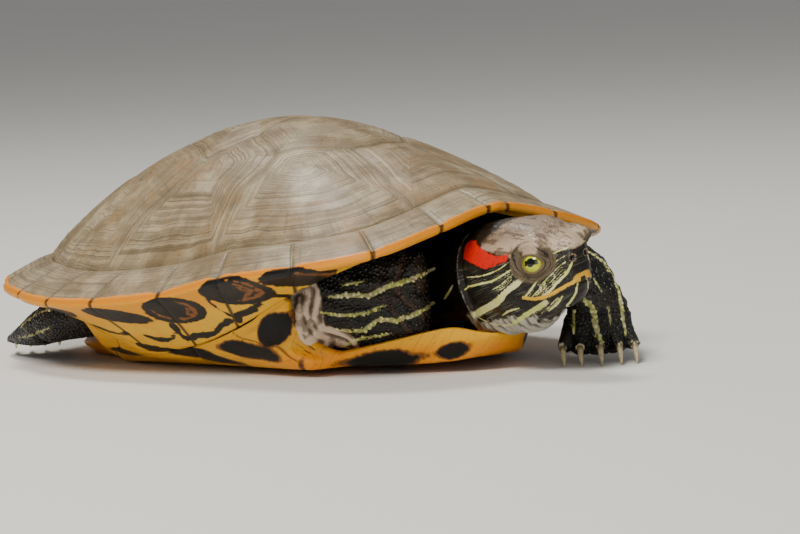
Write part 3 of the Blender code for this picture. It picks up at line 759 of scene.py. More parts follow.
    def read_round(self, values: Sequence, t: Array) -> Array:
        """Read a closed list of rim values at the keys t.

        Args:
            values: One number or row per seam.
            t: Keys round the rim.

        Returns:
            One row per key.
        """
        keys, period = self.keys, self.period
        values = np.asarray(values, float).reshape(len(keys), -1)
        keys = np.concatenate([keys[-3:] - period, keys, keys[:3] + period])
        values = np.concatenate([values[-3:], values, values[:3]])
        return hermite(keys, values, np.mod(t, period))

    def around(self, values: Sequence[float]) -> list:
        """Repeat values of the left seams round the whole rim."""
        return list(values) + list(values[-2::-1]) + [values[0]]

    def rim(self, t: Array) -> Array:
        """Return the rim's points, with the rear plates bowed out between their seams.

        Args:
            t: Keys round the rim.

        Returns:
            Points in the shell's axes.
        """
        spot = self.read_round(self.ring_points, t)
        wave = np.abs(np.sin(np.pi * np.asarray(t, float)))[:, None]
        rear = np.clip(-(spot[:, :1] + 20.0) / 60.0, 0.0, 1.0)
        plan = np.linalg.norm(spot[:, :2], axis=1, keepdims=True)
        spot[:, :2] *= 1.0 + self.scallop * (wave - 0.6) * rear / plan
        return spot

    def _profile(self, heading: Array, edge_z: Array, rho: Array) -> Array:
        """Return heights on the dome from heading, rim height and distance share.

        Args:
            heading: Direction from the middle, in radians.
            edge_z: The rim's height there.
            rho: Share of the way out to the rim.

        Returns:
            The heights.
        """
        front = np.clip(np.cos(heading), 0, 1) ** 2
        rear = np.clip(-np.cos(heading), 0, 1) ** 2
        rise = self.rises[0] * front + self.rises[1] * rear + self.rises[2] * np.sin(heading) ** 2
        foot = edge_z + rise
        inner = foot + (self.top - foot) * (1.0 - np.clip(rho / self.kink, 0, 1) ** (2.0 - 0.5 * front))
        outer = foot - rise * np.clip((rho - self.kink) / (1.0 - self.kink), 0, 1)
        # The kink between costals and marginals is softened.
        blend = bell(rho - self.kink, 0.035) * 0.6
        return np.where(rho <= self.kink, inner, outer) - blend

    def dome(self, t: Array, rho: Array) -> Array:
        """Return points of the outer surface, from the middle (0) to the rim (1).

        Args:
            t: Keys round the rim.
            rho: Share of the way out to the rim.

        Returns:
            Points in the shell's axes.
        """
        edge = self.rim(t)
        heading = np.arctan2(edge[:, 1], edge[:, 0])
        return np.stack([edge[:, 0] * rho, edge[:, 1] * rho, self._profile(heading, edge[:, 2], rho)], 1)

    def height(self, x: Array, y: Array) -> Array:
        """Return the outer surface's height over plan points.

        Args:
            x: Places forward.
            y: Places to the left.

        Returns:
            The heights.
        """
        heading = np.arctan2(y, x)
        reach = np.interp(heading, self.heading, self.reach, period=2 * math.pi)
        edge_z = np.interp(heading, self.heading, self.edge_z, period=2 * math.pi)
        return self._profile(heading, edge_z, np.hypot(x, y) / reach)

    def lip(self, t: Array, further: float = 0.0, lift: float = 0.0) -> Array:
        """Return the marginals' inner lower edge, or a line further in and up.

        Args:
            t: Keys round the rim.
            further: Millimetres further in.
            lift: Millimetres higher.

        Returns:
            Points in the shell's axes.
        """
        edge = self.rim(t)
        depth = self.read_round(self.around(self.depth), t)[:, 0] + further
        drop = self.read_round(self.around(self.drop), t)[:, 0] - lift
        shrink = 1.0 - depth / np.linalg.norm(edge[:, :2], axis=1)
        return np.stack([edge[:, 0] * shrink, edge[:, 1] * shrink, edge[:, 2] - drop], 1)

    def folded(self, t: Array) -> Array:
        """Return the key on the left half that mirrors t. The nuchal lies below 0.

        Args:
            t: Keys round the rim.

        Returns:
            Keys from 0 at the front to 12 at the back.
        """
        t, whole = np.mod(t, self.period), 2.0 * self.per_side
        nuchal = np.minimum(t - whole, self.period - t)
        return np.where(t <= self.per_side, t, np.where(t <= whole, whole - t, -nuchal))

    def arc_length(self, folded: Array) -> Array:
        """Return millimetres along the rim from the nuchal's edge to a folded key."""
        return np.interp(folded, self.arc_keys, self.arc)

    def seam_gap(self, t: Array) -> Array:
        """Return millimetres along the rim to the nearest seam between marginals.

        Args:
            t: Keys round the rim.

        Returns:
            The distances.
        """
        folded = self.folded(t)
        near = np.round(np.clip(folded, 0.0, self.per_side))
        return np.abs(self.arc_length(folded) - self.arc_length(near))

    def groove(self, gap: Array) -> Array:
        """Return how deep the surface sinks at a distance from a seam."""
        return self.groove_depth * bell(gap, self.groove_width)

    def blotches(self, t: Array, across: Array, spots: Array) -> tuple[Array, Array]:
        """Return signed distances to the marginals' black blotches and their brown fillings.

        Args:
            t: Rim keys.
            across: Millimetres inwards from the rim.
            spots: The same points in the shell's axes.

        Returns:
            Distances to black and to brown, negative inside.
        """
        folded = self.folded(t)
        spot = np.stack([self.arc_length(folded), across], 1)
        black, brown, dark, filled = (np.full(len(spot), FAR) for _ in range(4))
        # Seam, shift along and across, half sizes, tilt; then the core's shift and share.
        eyes = (
            (0, 0.5, 4.0, 6.0, 2.6, 0.0, 0.5, 0.6), (1, -0.5, 4.4, 7.5, 3.0, 0.05, 1.0, 0.6),
            (2, -0.5, 4.6, 9.0, 3.4, 0.05, 1.0, 0.62), (7, -1.0, 5.6, 9.5, 4.6, 0.08, 1.4, 0.70),
            (8, -0.5, 4.8, 8.0, 4.0, 0.0, 1.0, 0.66), (9, 0.0, 4.6, 7.6, 3.6, 0.0, 1.0, 0.62),
            (10, 0.0, 4.6, 7.4, 3.6, 0.0, 1.0, 0.62), (11, 0.0, 4.6, 7.2, 3.6, 0.0, 1.0, 0.62),
            (12, 0.0, 4.6, 6.0, 3.4, 0.0, 0.0, 0.62),
        )
        for seam, along, inwards, long, short, tilt, core, share in eyes:
            centre = (self.arc_length(np.array([seam]))[0] + along, inwards)
            outer = oval_distance(spot, centre, (long, short), tilt)
            inner = oval_distance(spot, (centre[0] + core, centre[1] - 0.1 * short),
                                  (long * share, short * 0.80), tilt)
            island = oval_distance(spot, (centre[0] - long * 0.42, centre[1] + 0.2 * short),
                                   (long * 0.20, short * 0.32), tilt + 0.5)
            ring = np.abs(outer + 0.55) - 0.55
            black = np.minimum(black, np.minimum(inner, np.minimum(ring, island)))
            brown = np.minimum(brown, outer)
        # Over the bridge they are laid out in side view, from place forward and height.
        steep = 1.35
        side = np.stack([spots[:, 0], spots[:, 2] * steep], 1)
        for (x, z), (long, short), tilt, (core_x, core_z), (core_long, core_short) in self.side_eyes:
            outer = oval_distance(side, (x, z * steep), (long, short), tilt)
            inner = oval_distance(side, (core_x, core_z * steep), (core_long, core_short), tilt + 0.1)
            lines = np.minimum(np.abs(outer + 0.7) - 0.85, np.abs(outer + 2.9) - 0.30)
            lines = np.minimum(lines, np.abs(outer + 4.5) - 0.22)
            dark = np.minimum(dark, np.minimum(inner, lines))
            filled = np.minimum(filled, outer)
        for path, width in self.side_bands:
            line = smooth_path([(x, z * steep) for x, z in path], 1.0)
            widths = 0.5 * width * (0.85 + 0.3 * np.sin(np.linspace(0.0, 7.0, len(line))))
            dark = np.minimum(dark, chain_distance(side, line, widths))
        near = np.where((folded > 2.4) & (folded < 7.4), 0.0, FAR)
        return np.minimum(black, dark + near), np.minimum(brown, filled + near)

    def _marginals(self, patch: Patchwork) -> Array:
        """Add the ring of marginals, their underside and the inner wall.

        Args:
            patch: Takes the grids.

        Returns:
            The points of the line where the plates of the dome begin.
        """
        t = self.span_keys
        count = len(t)
        full = np.ones(count)
        edge = self.rim(t)
        plan = np.linalg.norm(edge[:, :2], axis=1)
        gap = self.seam_gap(t)
        rows, seams, edges, rings = [], [], [], []

        def add(line: Array, seam: Array, place: object, ring: object) -> None:
            """Add one line of points round the rim with its values.

            Args:
                line: The points.
                seam: Distance to the nearest seam.
                place: Distance in from the rim.
                ring: Share of the growth rings.
            """
            rows.append(line)
            seams.append(seam)
            edges.append(full * place)
            rings.append(full * ring)

        # The upper face, from the line where the dome begins out to the rim.
        width = plan * (1.0 - self.kink)
        places = [full * step for step in SEAM_STEPS]
        last = SEAM_STEPS[-1]
        places += [last + (width - last) * share for share in (0.18, 0.36, 0.54, 0.70, 0.83, 0.93, 0.98)]
        swell = ramp(gap, 0.0, 5.0)
        for place in places:
            line = self.dome(t, self.kink + (1.0 - self.kink) * np.clip(place / width, 0.0, 1.0))
            near = np.minimum(place, gap)
            sunk = np.where(place > 0, self.groove(near), self.groove_depth)
            line[:, 2] += 0.30 * ramp(place, 0.0, 5.0) * swell - sunk
            add(line, near, place - width, 0.5 - 0.5 * place / width)
        # The rounded rim, with a small notch at each seam.
        lower = edge.copy()
        lower[:, :2] *= 0.994
        lower[:, 2] -= self.edge_height
        notch = 0.5 * bell(gap, 0.9)
        for share in (0.0, 0.33, 0.66, 1.0):
            turn = math.pi * share
            line = edge + (lower - edge) * (0.5 - 0.5 * math.cos(turn))
            line[:, :2] *= (1.0 + (0.9 * math.sin(turn) - notch - 0.15) / plan)[:, None]
            add(line, gap, 0.1 + 2.2 * share, 0.5)
        # The underside, bowed in to its lip.
        lip = self.lip(t)
        arm = np.linalg.norm(lip - lower, axis=1)
        bow = 0.5 * (lower + lip) + [0.0, 0.0, 1.2]
        for share in np.linspace(0.0, 1.0, 24)[1:]:
            line = (1 - share) ** 2 * lower + 2 * share * (1 - share) * bow + share ** 2 * lip
            line[:, 2] += 0.3 * self.groove(gap)
            add(line, gap, 2.3 + arm * share, share)
        inner = [rows[-1], self.lip(t, further=3.2, lift=1.4)]
        for rho, wall in ((0.80, self.wall + 2.0), (0.66, self.wall), (0.46, self.wall), (0.22, self.wall)):
            inner.append(self.dome(t, full * rho) - [0.0, 0.0, wall])
        inner.append(np.tile([0.0, 0.0, self.top - self.wall - 0.6], (count, 1)))
        points, across = np.array(rows), np.array(edges)
        black, brown = self.blotches(np.tile(t, len(rows)), across.reshape(-1) - 1.0, points.reshape(-1, 3))
        chance = np.random.default_rng(SEED).random(26)[np.floor(t).astype(int)]
        patch.grid(points, {
            "ring": np.array(rings), "seam": np.array(seams), "along": self.arc_length(self.folded(t)),
            "plate": chance, "edge": across, "blot": black.reshape(across.shape),
            "amber": brown.reshape(across.shape),
        }, closed=True)
        patch.grid(np.array(inner), {
            "under": 2.0, "seam": 9.0, "edge": 9.0, "blot": 9.0, "amber": 9.0}, closed=True)
        return rows[0]

    def _edge(self, points: Sequence, seed: int) -> Array:
        """Return a seam between plates as close plan points, with a natural small wander.

        Args:
            points: Plan points that the seam passes through.
            seed: Seed of its wander.

        Returns:
            The close points.
        """
        path = smooth_path(points, 1.15)
        share = np.linspace(0.0, 1.0, len(path))
        rng = np.random.default_rng(seed)
        wander = sum(
            rng.normal(0.0, 0.55 / k) * np.sin(math.pi * k * share + rng.uniform(0.0, 0.4)) for k in (2, 3, 5, 8))
        wander *= np.sin(math.pi * share) ** 0.7
        ahead = np.gradient(path, axis=0)
        ahead /= np.linalg.norm(ahead, axis=1, keepdims=True)
        return path + np.stack([-ahead[:, 1], ahead[:, 0]], 1) * wander[:, None]

    def _layout(self, start: Array) -> list[tuple[Array, tuple[float, float]]]:
        """Return each plate of the dome as its outline and the middle of its growth rings.

        Args:
            start: Points of the marginals' upper line, one per column.

        Returns:
            The outline and the middle of each plate.
        """
        count = len(start)
        mark = {name: plate * self.columns + step for name, (plate, step) in self.marks.items()}
        mirror = {name: 2 * self.per_side * self.columns - place for name, place in mark.items()}
        corner = {**self.corners, **{name: tuple(start[place][:2]) for name, place in mark.items()}}
        left, right, crossing = {}, {}, {}
        for number, (name, (first, last, *through)) in enumerate(self.seam_paths.items()):
            points = [corner[first], *through, corner[last]]
            left[name] = self._edge(points, 40 + number)
            right[name] = self._edge([(x, -y) for x, y in points], 80 + number)
        for number, (key, bow) in enumerate((("a", 2.4), ("c", -2.2), ("e", -2.0), ("g", -1.6))):
            x, y = self.corners[key]
            crossing[key] = self._edge([(x, y), (x + bow, 0.0), (x, -y)], 60 + number)

        def rim_run(first: int, last: int) -> Array:
            """Return the marginals' upper line from one column to another, counted up."""
            return start[np.arange(first, last + 1) % count][:, :2]

        plates = [([rim_run(mirror["m1"], mark["m1"] + count), left["m1a"], crossing["a"], right["m1a"][::-1]],
                   (57.0, 0.0))]
        for top, down, back, bottom, middle in (
            ("a", "ab", "bc", "c", 18.0), ("c", "cd", "de", "e", -18.0), ("e", "ef", "fg", "g", -52.0),
        ):
            plates.append(([left[down], left[back], crossing[bottom], right[back][::-1], right[down][::-1],
                            crossing[top][::-1]], (middle, 0.0)))
        plates.append(([left["gm5"], rim_run(mark["m5"], mirror["m5"]), right["gm5"][::-1], crossing["g"][::-1]],
                       (-80.0, 0.0)))
        for upper, front, rear, before, (x, y) in (
            (("m1a", "ab", "bm2"), "m1", "m2", (), (36.0, 32.5)),
            (("bc", "cd", "dm3"), "m2", "m3", ("bm2",), (-1.0, 40.0)),
            (("de", "ef", "fm4"), "m3", "m4", ("dm3",), (-36.0, 40.0)),
            (("fg", "gm5"), "m4", "m5", ("fm4",), (-66.0, 34.0)),
        ):
            rims = rim_run(mark[front], mark[rear])[::-1], rim_run(mirror[rear], mirror[front])
            for side, rim, sign in zip((left, right), rims, (1.0, -1.0)):
                run = [side[name] for name in upper] + [rim] + [side[name][::-1] for name in before]
                plates.append((run, (x, sign * y)))
        return [(np.concatenate([piece[:-1] for piece in run]), centre) for run, centre in plates]

    def _plates(self, patch: Patchwork, start: Array) -> None:
        """Add the vertebral and costal plates as fans about their growth centres.

        Args:
            patch: Takes the grids.
            start: Points of the marginals' upper line.
        """
        rng = np.random.default_rng(SEED + 1)
        for loop, centre in self._layout(start):
            outward = loop - np.array(centre)
            length = np.linalg.norm(outward, axis=1)
            steps = np.array(SEAM_STEPS)
            even = np.linspace(0.0, 1.0, self.ray_rows - len(steps) + 1)[1:]
            gaps = np.concatenate([
                np.tile(steps[:, None], (1, len(loop))), steps[-1] + (length - steps[-1]) * even[:, None]])
            share = gaps / length
            plan = loop[None] - outward[None] * share[:, :, None]
            z = self.height(plan[..., 0], plan[..., 1])
            phase = rng.uniform(0.0, 6.0)
            terraces = 0.12 * np.sin(share * 46.0 + phase) * ramp(share, 0.02, 0.2) * ramp(share, 0.95, 0.6)
            z = z + terraces + 0.5 * ramp(share, 0.0, 0.35) - self.groove(gaps)
            points = np.concatenate([plan, z[..., None]], axis=2)
            along = np.concatenate([[0.0], np.cumsum(np.linalg.norm(np.diff(loop, axis=0), axis=1))])
            patch.grid(points, {
                "ring": share, "seam": gaps, "along": along, "plate": rng.random(), "edge": -9.0,
                "blot": 9.0, "amber": 9.0,
            }, closed=True)

    def build(self) -> bpy.types.Object:
        """Build and dress the carapace in place of its solid."""
        patch = Patchwork(["ring", "seam", "along", "plate", "edge", "under", "blot", "amber"])
        start = self._marginals(patch)
        self._plates(patch, start)
        obj = patch.build("carapace_horny")
        obj.data.materials.append(ShellHorn().material())
        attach(obj, "root")
        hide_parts("carapace")
        LOG.info("carapace: %d faces", len(obj.data.polygons))
        return obj


@dataclass
class Plastron:
    """The lower shell with the bridges that climb to the marginals."""

    shell: Carapace
    rear: tuple = (
        (-96.0, 8.0, 14.0, 2.2, 3.6, 2.0), (-92.0, 18.0, 25.0, 1.4, 3.8, 1.0), (-84.0, 28.0, 34.5, 0.8, 4.2, 0.2),
        (-72.0, 34.5, 41.0, 0.5, 4.4, 0.0), (-58.0, 37.5, 43.5, 0.3, 4.4, 0.0), (-46.0, 40.0, 46.0, 0.3, 4.4, 0.0),
    )
    front: tuple = (
        (60.0, 37.5, 45.0, 0.3, 3.4, 0.0), (66.0, 34.5, 41.5, 0.2, 5.2, 0.0), (74.0, 29.0, 35.5, 0.1, 7.4, 0.0),
        (82.0, 22.0, 28.5, 0.1, 9.6, 0.1), (89.0, 16.0, 22.5, 0.5, 11.4, 0.4), (93.5, 13.0, 18.6, 1.6, 12.0, 1.2),
        (97.0, 9.5, 14.0, 3.4, 10.6, 2.8), (100.0, 6.0, 9.5, 6.0, 9.0, 5.4), (101.6, 3.0, 5.0, 8.0, 8.8, 7.8),
    )
    bridge_keys: tuple = (7.5, 3.0)
    keel: float = 54.0
    pocket: float = 8.5
    thickness: float = 4.4
    thin: float = 1.8
    half_columns: int = 112
    row_step: float = 1.1

    def _outline(self, row: Sequence[float]) -> Array:
        """Return the half outline of one station, from the middle to the edge.

        A lobe's row has five sizes and a bridge's row has two.

        Args:
            row: The station's sizes, without its place forward.

        Returns:
            Six points of y and z.
        """
        if len(row) > 2:
            keel, edge, keel_lift, edge_lift, middle = row
            return np.array([
                (0.0, middle), (keel * 0.5, middle), (keel, keel_lift),
                (keel + (edge - keel) * 0.45, keel_lift + (edge_lift - keel_lift) * 0.22),
                (keel + (edge - keel) * 0.82, keel_lift + (edge_lift - keel_lift) * 0.58), (edge, edge_lift)])
        top_y, top_z = row
        keel = min(self.keel, top_y - 3.5)
        return np.array([
            (0.0, 0.0), (keel * 0.6, 0.0), (keel - 7.0, 0.1), (keel - 2.0, 1.2),
            (keel + (top_y - keel) * 0.5, 1.2 + (top_z - 1.2) * 0.42), (top_y, top_z)])

    def _stations(self) -> tuple[Array, Array]:
        """Return each station's place forward and its half outline, rear to front."""
        bridge = self.shell.lip(np.arange(self.bridge_keys[0], self.bridge_keys[1] - 0.1, -0.5))
        rows = [*self.rear, *((x, y - 0.1, z - 0.7) for x, y, z in bridge), *self.front]
        return np.array([row[0] for row in rows]), np.array([self._outline(row[1:]) for row in rows])

    def surface(self) -> tuple[Array, Array]:
        """Return the lower and upper surface as rows from rear to front, columns left to right."""
        places, outlines = self._stations()
        x = np.append(np.arange(places[0], places[-1], self.row_step), places[-1])
        dense = np.linspace(0.0, 1.0, self.half_columns) * 5.0
        even = np.array([hermite(np.arange(6.0), outline, dense) for outline in outlines])
        half = np.array([[np.interp(x, places, value) for value in spot.T] for spot in even.swapaxes(0, 1)])
        half = half.transpose(2, 0, 1)
        # Corners along the edge are rounded, more where the bridge meets the lobes.
        kernel = bell(np.arange(-4, 5), 2.2)
        kernel /= kernel.sum()
        padded = np.concatenate([half[:1].repeat(4, 0), half, half[-1:].repeat(4, 0)])
        soft = sum(weight * padded[i:i + len(half)] for i, weight in enumerate(kernel))
        soft[:2], soft[-2:] = half[:2], half[-2:]
        left = np.concatenate([np.tile(x[:, None, None], (1, self.half_columns, 1)), soft], 2)
        lower = np.concatenate([left[:, ::-1], left[:, 1:] * [1.0, -1.0, 1.0]], 1)
        ahead = np.gradient(lower, axis=1)
        normal = np.stack([np.zeros_like(ahead[..., 0]), -ahead[..., 2], ahead[..., 1]], -1)
        normal /= -np.linalg.norm(normal, axis=2, keepdims=True)
        middle = np.abs(np.linspace(-1.0, 1.0, lower.shape[1]))
        tip = np.clip((x - 93.5) / 8.0, 0.0, 1.0)
        thickness = self.thickness + (self.thin - self.thickness) * tip
        upper = lower + normal * (thickness[:, None] * (1.0 - 0.45 * middle ** 3))[..., None]
        # The front of each bridge is hollowed back round the foreleg's pocket.
        height, side = lower[..., 2], np.abs(lower[..., 1])
        back = self.pocket * ramp(height, 2.5, 9.0) * ramp(height, 30.0, 17.0) * ramp(side, 41.0, 49.0)
        back = back * ramp(lower[..., 0], 38.0, 57.0)
        for sheet in (lower, upper):
            sheet[..., 0] -= back
        return lower, upper

    def seam_lines(self) -> list[Array]:
        """Return the plates' seams on the left half, as paths on the flattened surface."""
        return [smooth_path(line, 2.0) for line in (
            ((-96.0, 0.0), (101.0, 0.0)),
            ((88.5, 22.5), (84.0, 12.0), (76.0, 5.0), (72.0, 0.0)),
            ((51.8, 47.8), (49.0, 30.0), (46.0, 14.0), (47.5, 0.0)),
            ((9.0, 70.0), (8.0, 60.0), (6.0, 50.0), (3.0, 30.0), (2.0, 12.0), (3.0, 0.0)),
            ((-46.0, 46.0), (-42.0, 34.0), (-36.0, 18.0), (-33.0, 0.0)),
            ((-84.0, 34.0), (-72.0, 24.0), (-66.0, 12.0), (-64.0, 0.0)),
            ((52.0, 47.8), (53.6, 52.6), (50.0, 56.6), (45.8, 61.1), (38.1, 65.8), (30.0, 70.3), (28.6, 73.0)),
            ((-44.0, 48.0), (-38.0, 59.0), (-30.0, 67.0), (-26.0, 75.0)),
        )]

    def blotches(self, flat: Array, side: Array) -> Array:
        """Return signed distances to the black blotches.

        Args:
            flat: Points of the flattened surface.
            side: The sign of each point's y.

        Returns:
            One distance per point.
        """
        ovals = (
            (46.0, 68.5, 6.4, 6.2, 0.30), (32.5, 62.2, 12.5, 4.2, -0.36), (10.0, 61.6, 18.0, 3.8, -0.62),
            (73.0, 33.5, 13.0, 4.6, -0.68), (92.6, 19.5, 4.8, 3.2, -0.80), (-30.0, 62.0, 9.0, 3.0, -0.05),
            (53.0, 50.6, 2.8, 1.1, 1.23),
            (64.0, 20.0, 9.0, 8.0, 0.3), (24.0, 24.0, 12.0, 10.0, 0.1), (-16.0, 24.0, 12.0, 10.0, -0.1),
            (-52.0, 22.0, 9.5, 8.0, 0.2), (-78.0, 14.0, 7.0, 5.0, 0.5), (86.0, 6.0, 6.0, 3.0, 0.0),
        )
        wave = 0.9 * np.sin(flat[:, 0] * 0.42 + side) + 0.6 * np.cos(flat[:, 1] * 0.61 - side)
        black = np.full(len(flat), 40.0)
        for x, y, long, short, tilt in ovals:
            black = np.minimum(black, oval_distance(flat, (x, y), (long, short), tilt) + 0.5 * wave)
        return black

    def build(self) -> bpy.types.Object:
        """Build and dress the plastron in place of its solid."""
        lower, upper = self.surface()
        spots = lower.reshape(-1, 3)
        # The surface is flattened by laying the steep bridges out sideways.
        climb = np.clip(spots[:, 2] - 1.2, 0.0, None)
        flat = np.stack([spots[:, 0], np.abs(spots[:, 1]) + climb], 1)
        seam = np.full(len(spots), 40.0)
        for path in self.seam_lines():
            seam = np.minimum(seam, chain_distance(flat, path))
        seam = np.maximum(seam, 0.0)
        black = self.blotches(flat, np.sign(spots[:, 1]))
        groove = 0.35 * bell(seam, 0.7) * ramp(spots[:, 2], 0.0, 0.8) + 0.10 * bell(seam, 0.8)
        front = ramp(spots[:, 0], 20.0, 60.0) * ramp(climb, 8.0, 3.0) * 0.9
        front = front + ramp(spots[:, 0], -30.0, -60.0) * 0.8
        ring = np.abs(spots[:, 1]) + 0.3 * climb
        values = {"seam": seam, "blot": black, "amber": black - 0.6, "front": front, "ring": ring}
        sheets = {key: value.reshape(lower.shape[:2]) for key, value in values.items()}
        lower[..., 2] += groove.reshape(lower.shape[:2])
        patch = Patchwork(list(sheets))
        patch.grid(lower, sheets)
        for pick in (0, -1):
            patch.grid(np.stack([lower[:, pick], upper[:, pick]], 1),
                       {key: sheet[:, pick, None] for key, sheet in sheets.items()})
        patch.grid(upper, {"seam": 9.0, "blot": 9.0, "amber": 9.0, "front": 0.6})
        for pick in (0, -1):
            patch.grid(np.stack([lower[pick], upper[pick]]), {key: sheet[pick] for key, sheet in sheets.items()})
        obj = patch.build("plastron_horny")
        placed(obj.data, vertex_rows(obj.data))
        obj.data.materials.append(BellyHorn().material())
        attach(obj, "root")
        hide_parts("plastron")
        LOG.info("plastron: %d faces", len(obj.data.polygons))
        return obj


# ------------------------------------------------------------------ flesh

CLAW_WIDTHS = {
    **{f"claw_fore_left_{number}": 1.1 for number in range(1, 6)},
    **{f"claw_fore_right_{number}": 0.9 for number in range(1, 6)},
    **{f"claw_hind_{side}_{number}": 1.2 for side in ("left", "right") for number in range(1, 5)},
}


def claw_ends(name: str) -> tuple[Array, Array]:
    """Return the middle of a claw's root and its tip, from the claw's solid.

    Args:
        name: The claw's node.

    Returns:
        Both points, in the part's frame.
    """
    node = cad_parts[name]
    points = np.array([(node.matrix_world @ vertex.co)[:] for vertex in node.data.vertices])
    middle = points.mean(0)
    tip = points[np.argmax(np.linalg.norm(points - middle, axis=1))]
    away = np.linalg.norm(points - tip, axis=1)
    return points[away > 0.93 * away.max()].mean(0), tip


class Side(Enum):
    """Left or right of the animal, as the sign of Y."""

    LEFT = 1.0
    RIGHT = -1.0


def ring_at(centre: Sequence[float], across: Array, rise: Array, wide: float, tall: float, sides: int) -> Array:
    """Return one oval ring of points."""
    turn = 2.0 * math.pi * np.arange(sides) / sides
    return np.asarray(centre) + np.outer(np.cos(turn) * wide, across) + np.outer(np.sin(turn) * tall, rise)


def soft_tube(stations: Sequence, sides: int = 40, step: float = 1.5) -> Array:
    """Return the rings of a soft limb, kept upright along its path.

    Args:
        stations: Centre, half-width and half-height at each station.
        sides: Points in each ring.
        step: Distance between rings.

    Returns:
        Rings by sides by x, y, z.
    """
    rows = np.array([(*centre, wide, tall) for centre, wide, tall in stations], float)
    keys = np.concatenate([[0.0], np.cumsum(np.linalg.norm(np.diff(rows[:, :3], axis=0), axis=1))])
    fine = hermite(keys, rows, np.linspace(0.0, keys[-1], int(keys[-1] / step) + 2))
    ahead = np.gradient(fine[:, :3], axis=0)
    up = np.array([0.0, 0.0, 1.0])
    rings = []
    for row, course in zip(fine, ahead):
        across = np.cross(up, course)
        rings.append(ring_at(row[:3], across / np.linalg.norm(across), up, row[3], row[4], sides))
    return np.array(rings)


def capped(rings: Array, bulge: Sequence[float] = (0.0, 0.0)) -> Array:
    """Close a tube with rounded ends.

    Args:
        rings: Rings by sides by x, y, z.
        bulge: How far the first and the last end stand out.

    Returns:
        The rings with the rings of both ends added.
    """
    def end(ring: Array, before: Array, reach: float) -> list[Array]:
        """Return the rings that close one end, outwards.

        Args:
            ring: The ring at the end.
            before: The ring before it.
            reach: How far it stands out.

        Returns:
            The new rings.
        """
        centre = ring.mean(0)
        course = centre - before.mean(0)
        course /= max(np.linalg.norm(course), 1e-9)
        return [centre + (ring - centre) * math.cos(turn) + course * reach * math.sin(turn)
                for turn in (0.4, 0.8, 1.15, 1.4, 0.5 * math.pi)]
    first = end(rings[0], rings[1], bulge[0])[::-1]
    last = end(rings[-1], rings[-2], bulge[1])
    return np.array([*first, *rings, *last])


def ellipsoid(centre: Sequence[float], half: Sequence[float], rows: int = 20, sides: int = 32) -> Array:
    """Return the rings of an ellipsoid, from its lower pole to its upper one.

    Args:
        centre: Its middle.
        half: Its three half sizes.
        rows: Number of rings.
        sides: Points in each ring.

    Returns:
        Rings by sides by x, y, z.
    """
    rise = np.linspace(-0.5 * math.pi, 0.5 * math.pi, rows)
    turn = 2.0 * math.pi * np.arange(sides) / sides
    unit = np.stack([
        np.outer(np.cos(rise), np.cos(turn)), np.outer(np.cos(rise), np.sin(turn)),
        np.outer(np.sin(rise), np.ones(sides))], -1)
    return np.asarray(centre) + unit * np.asarray(half)


@dataclass(frozen=True)
class Stroke:
    """One stripe of the head in side view: points forward and up, and its width in millimetres."""

    points: tuple
    width: float
    taper: float = 0.35


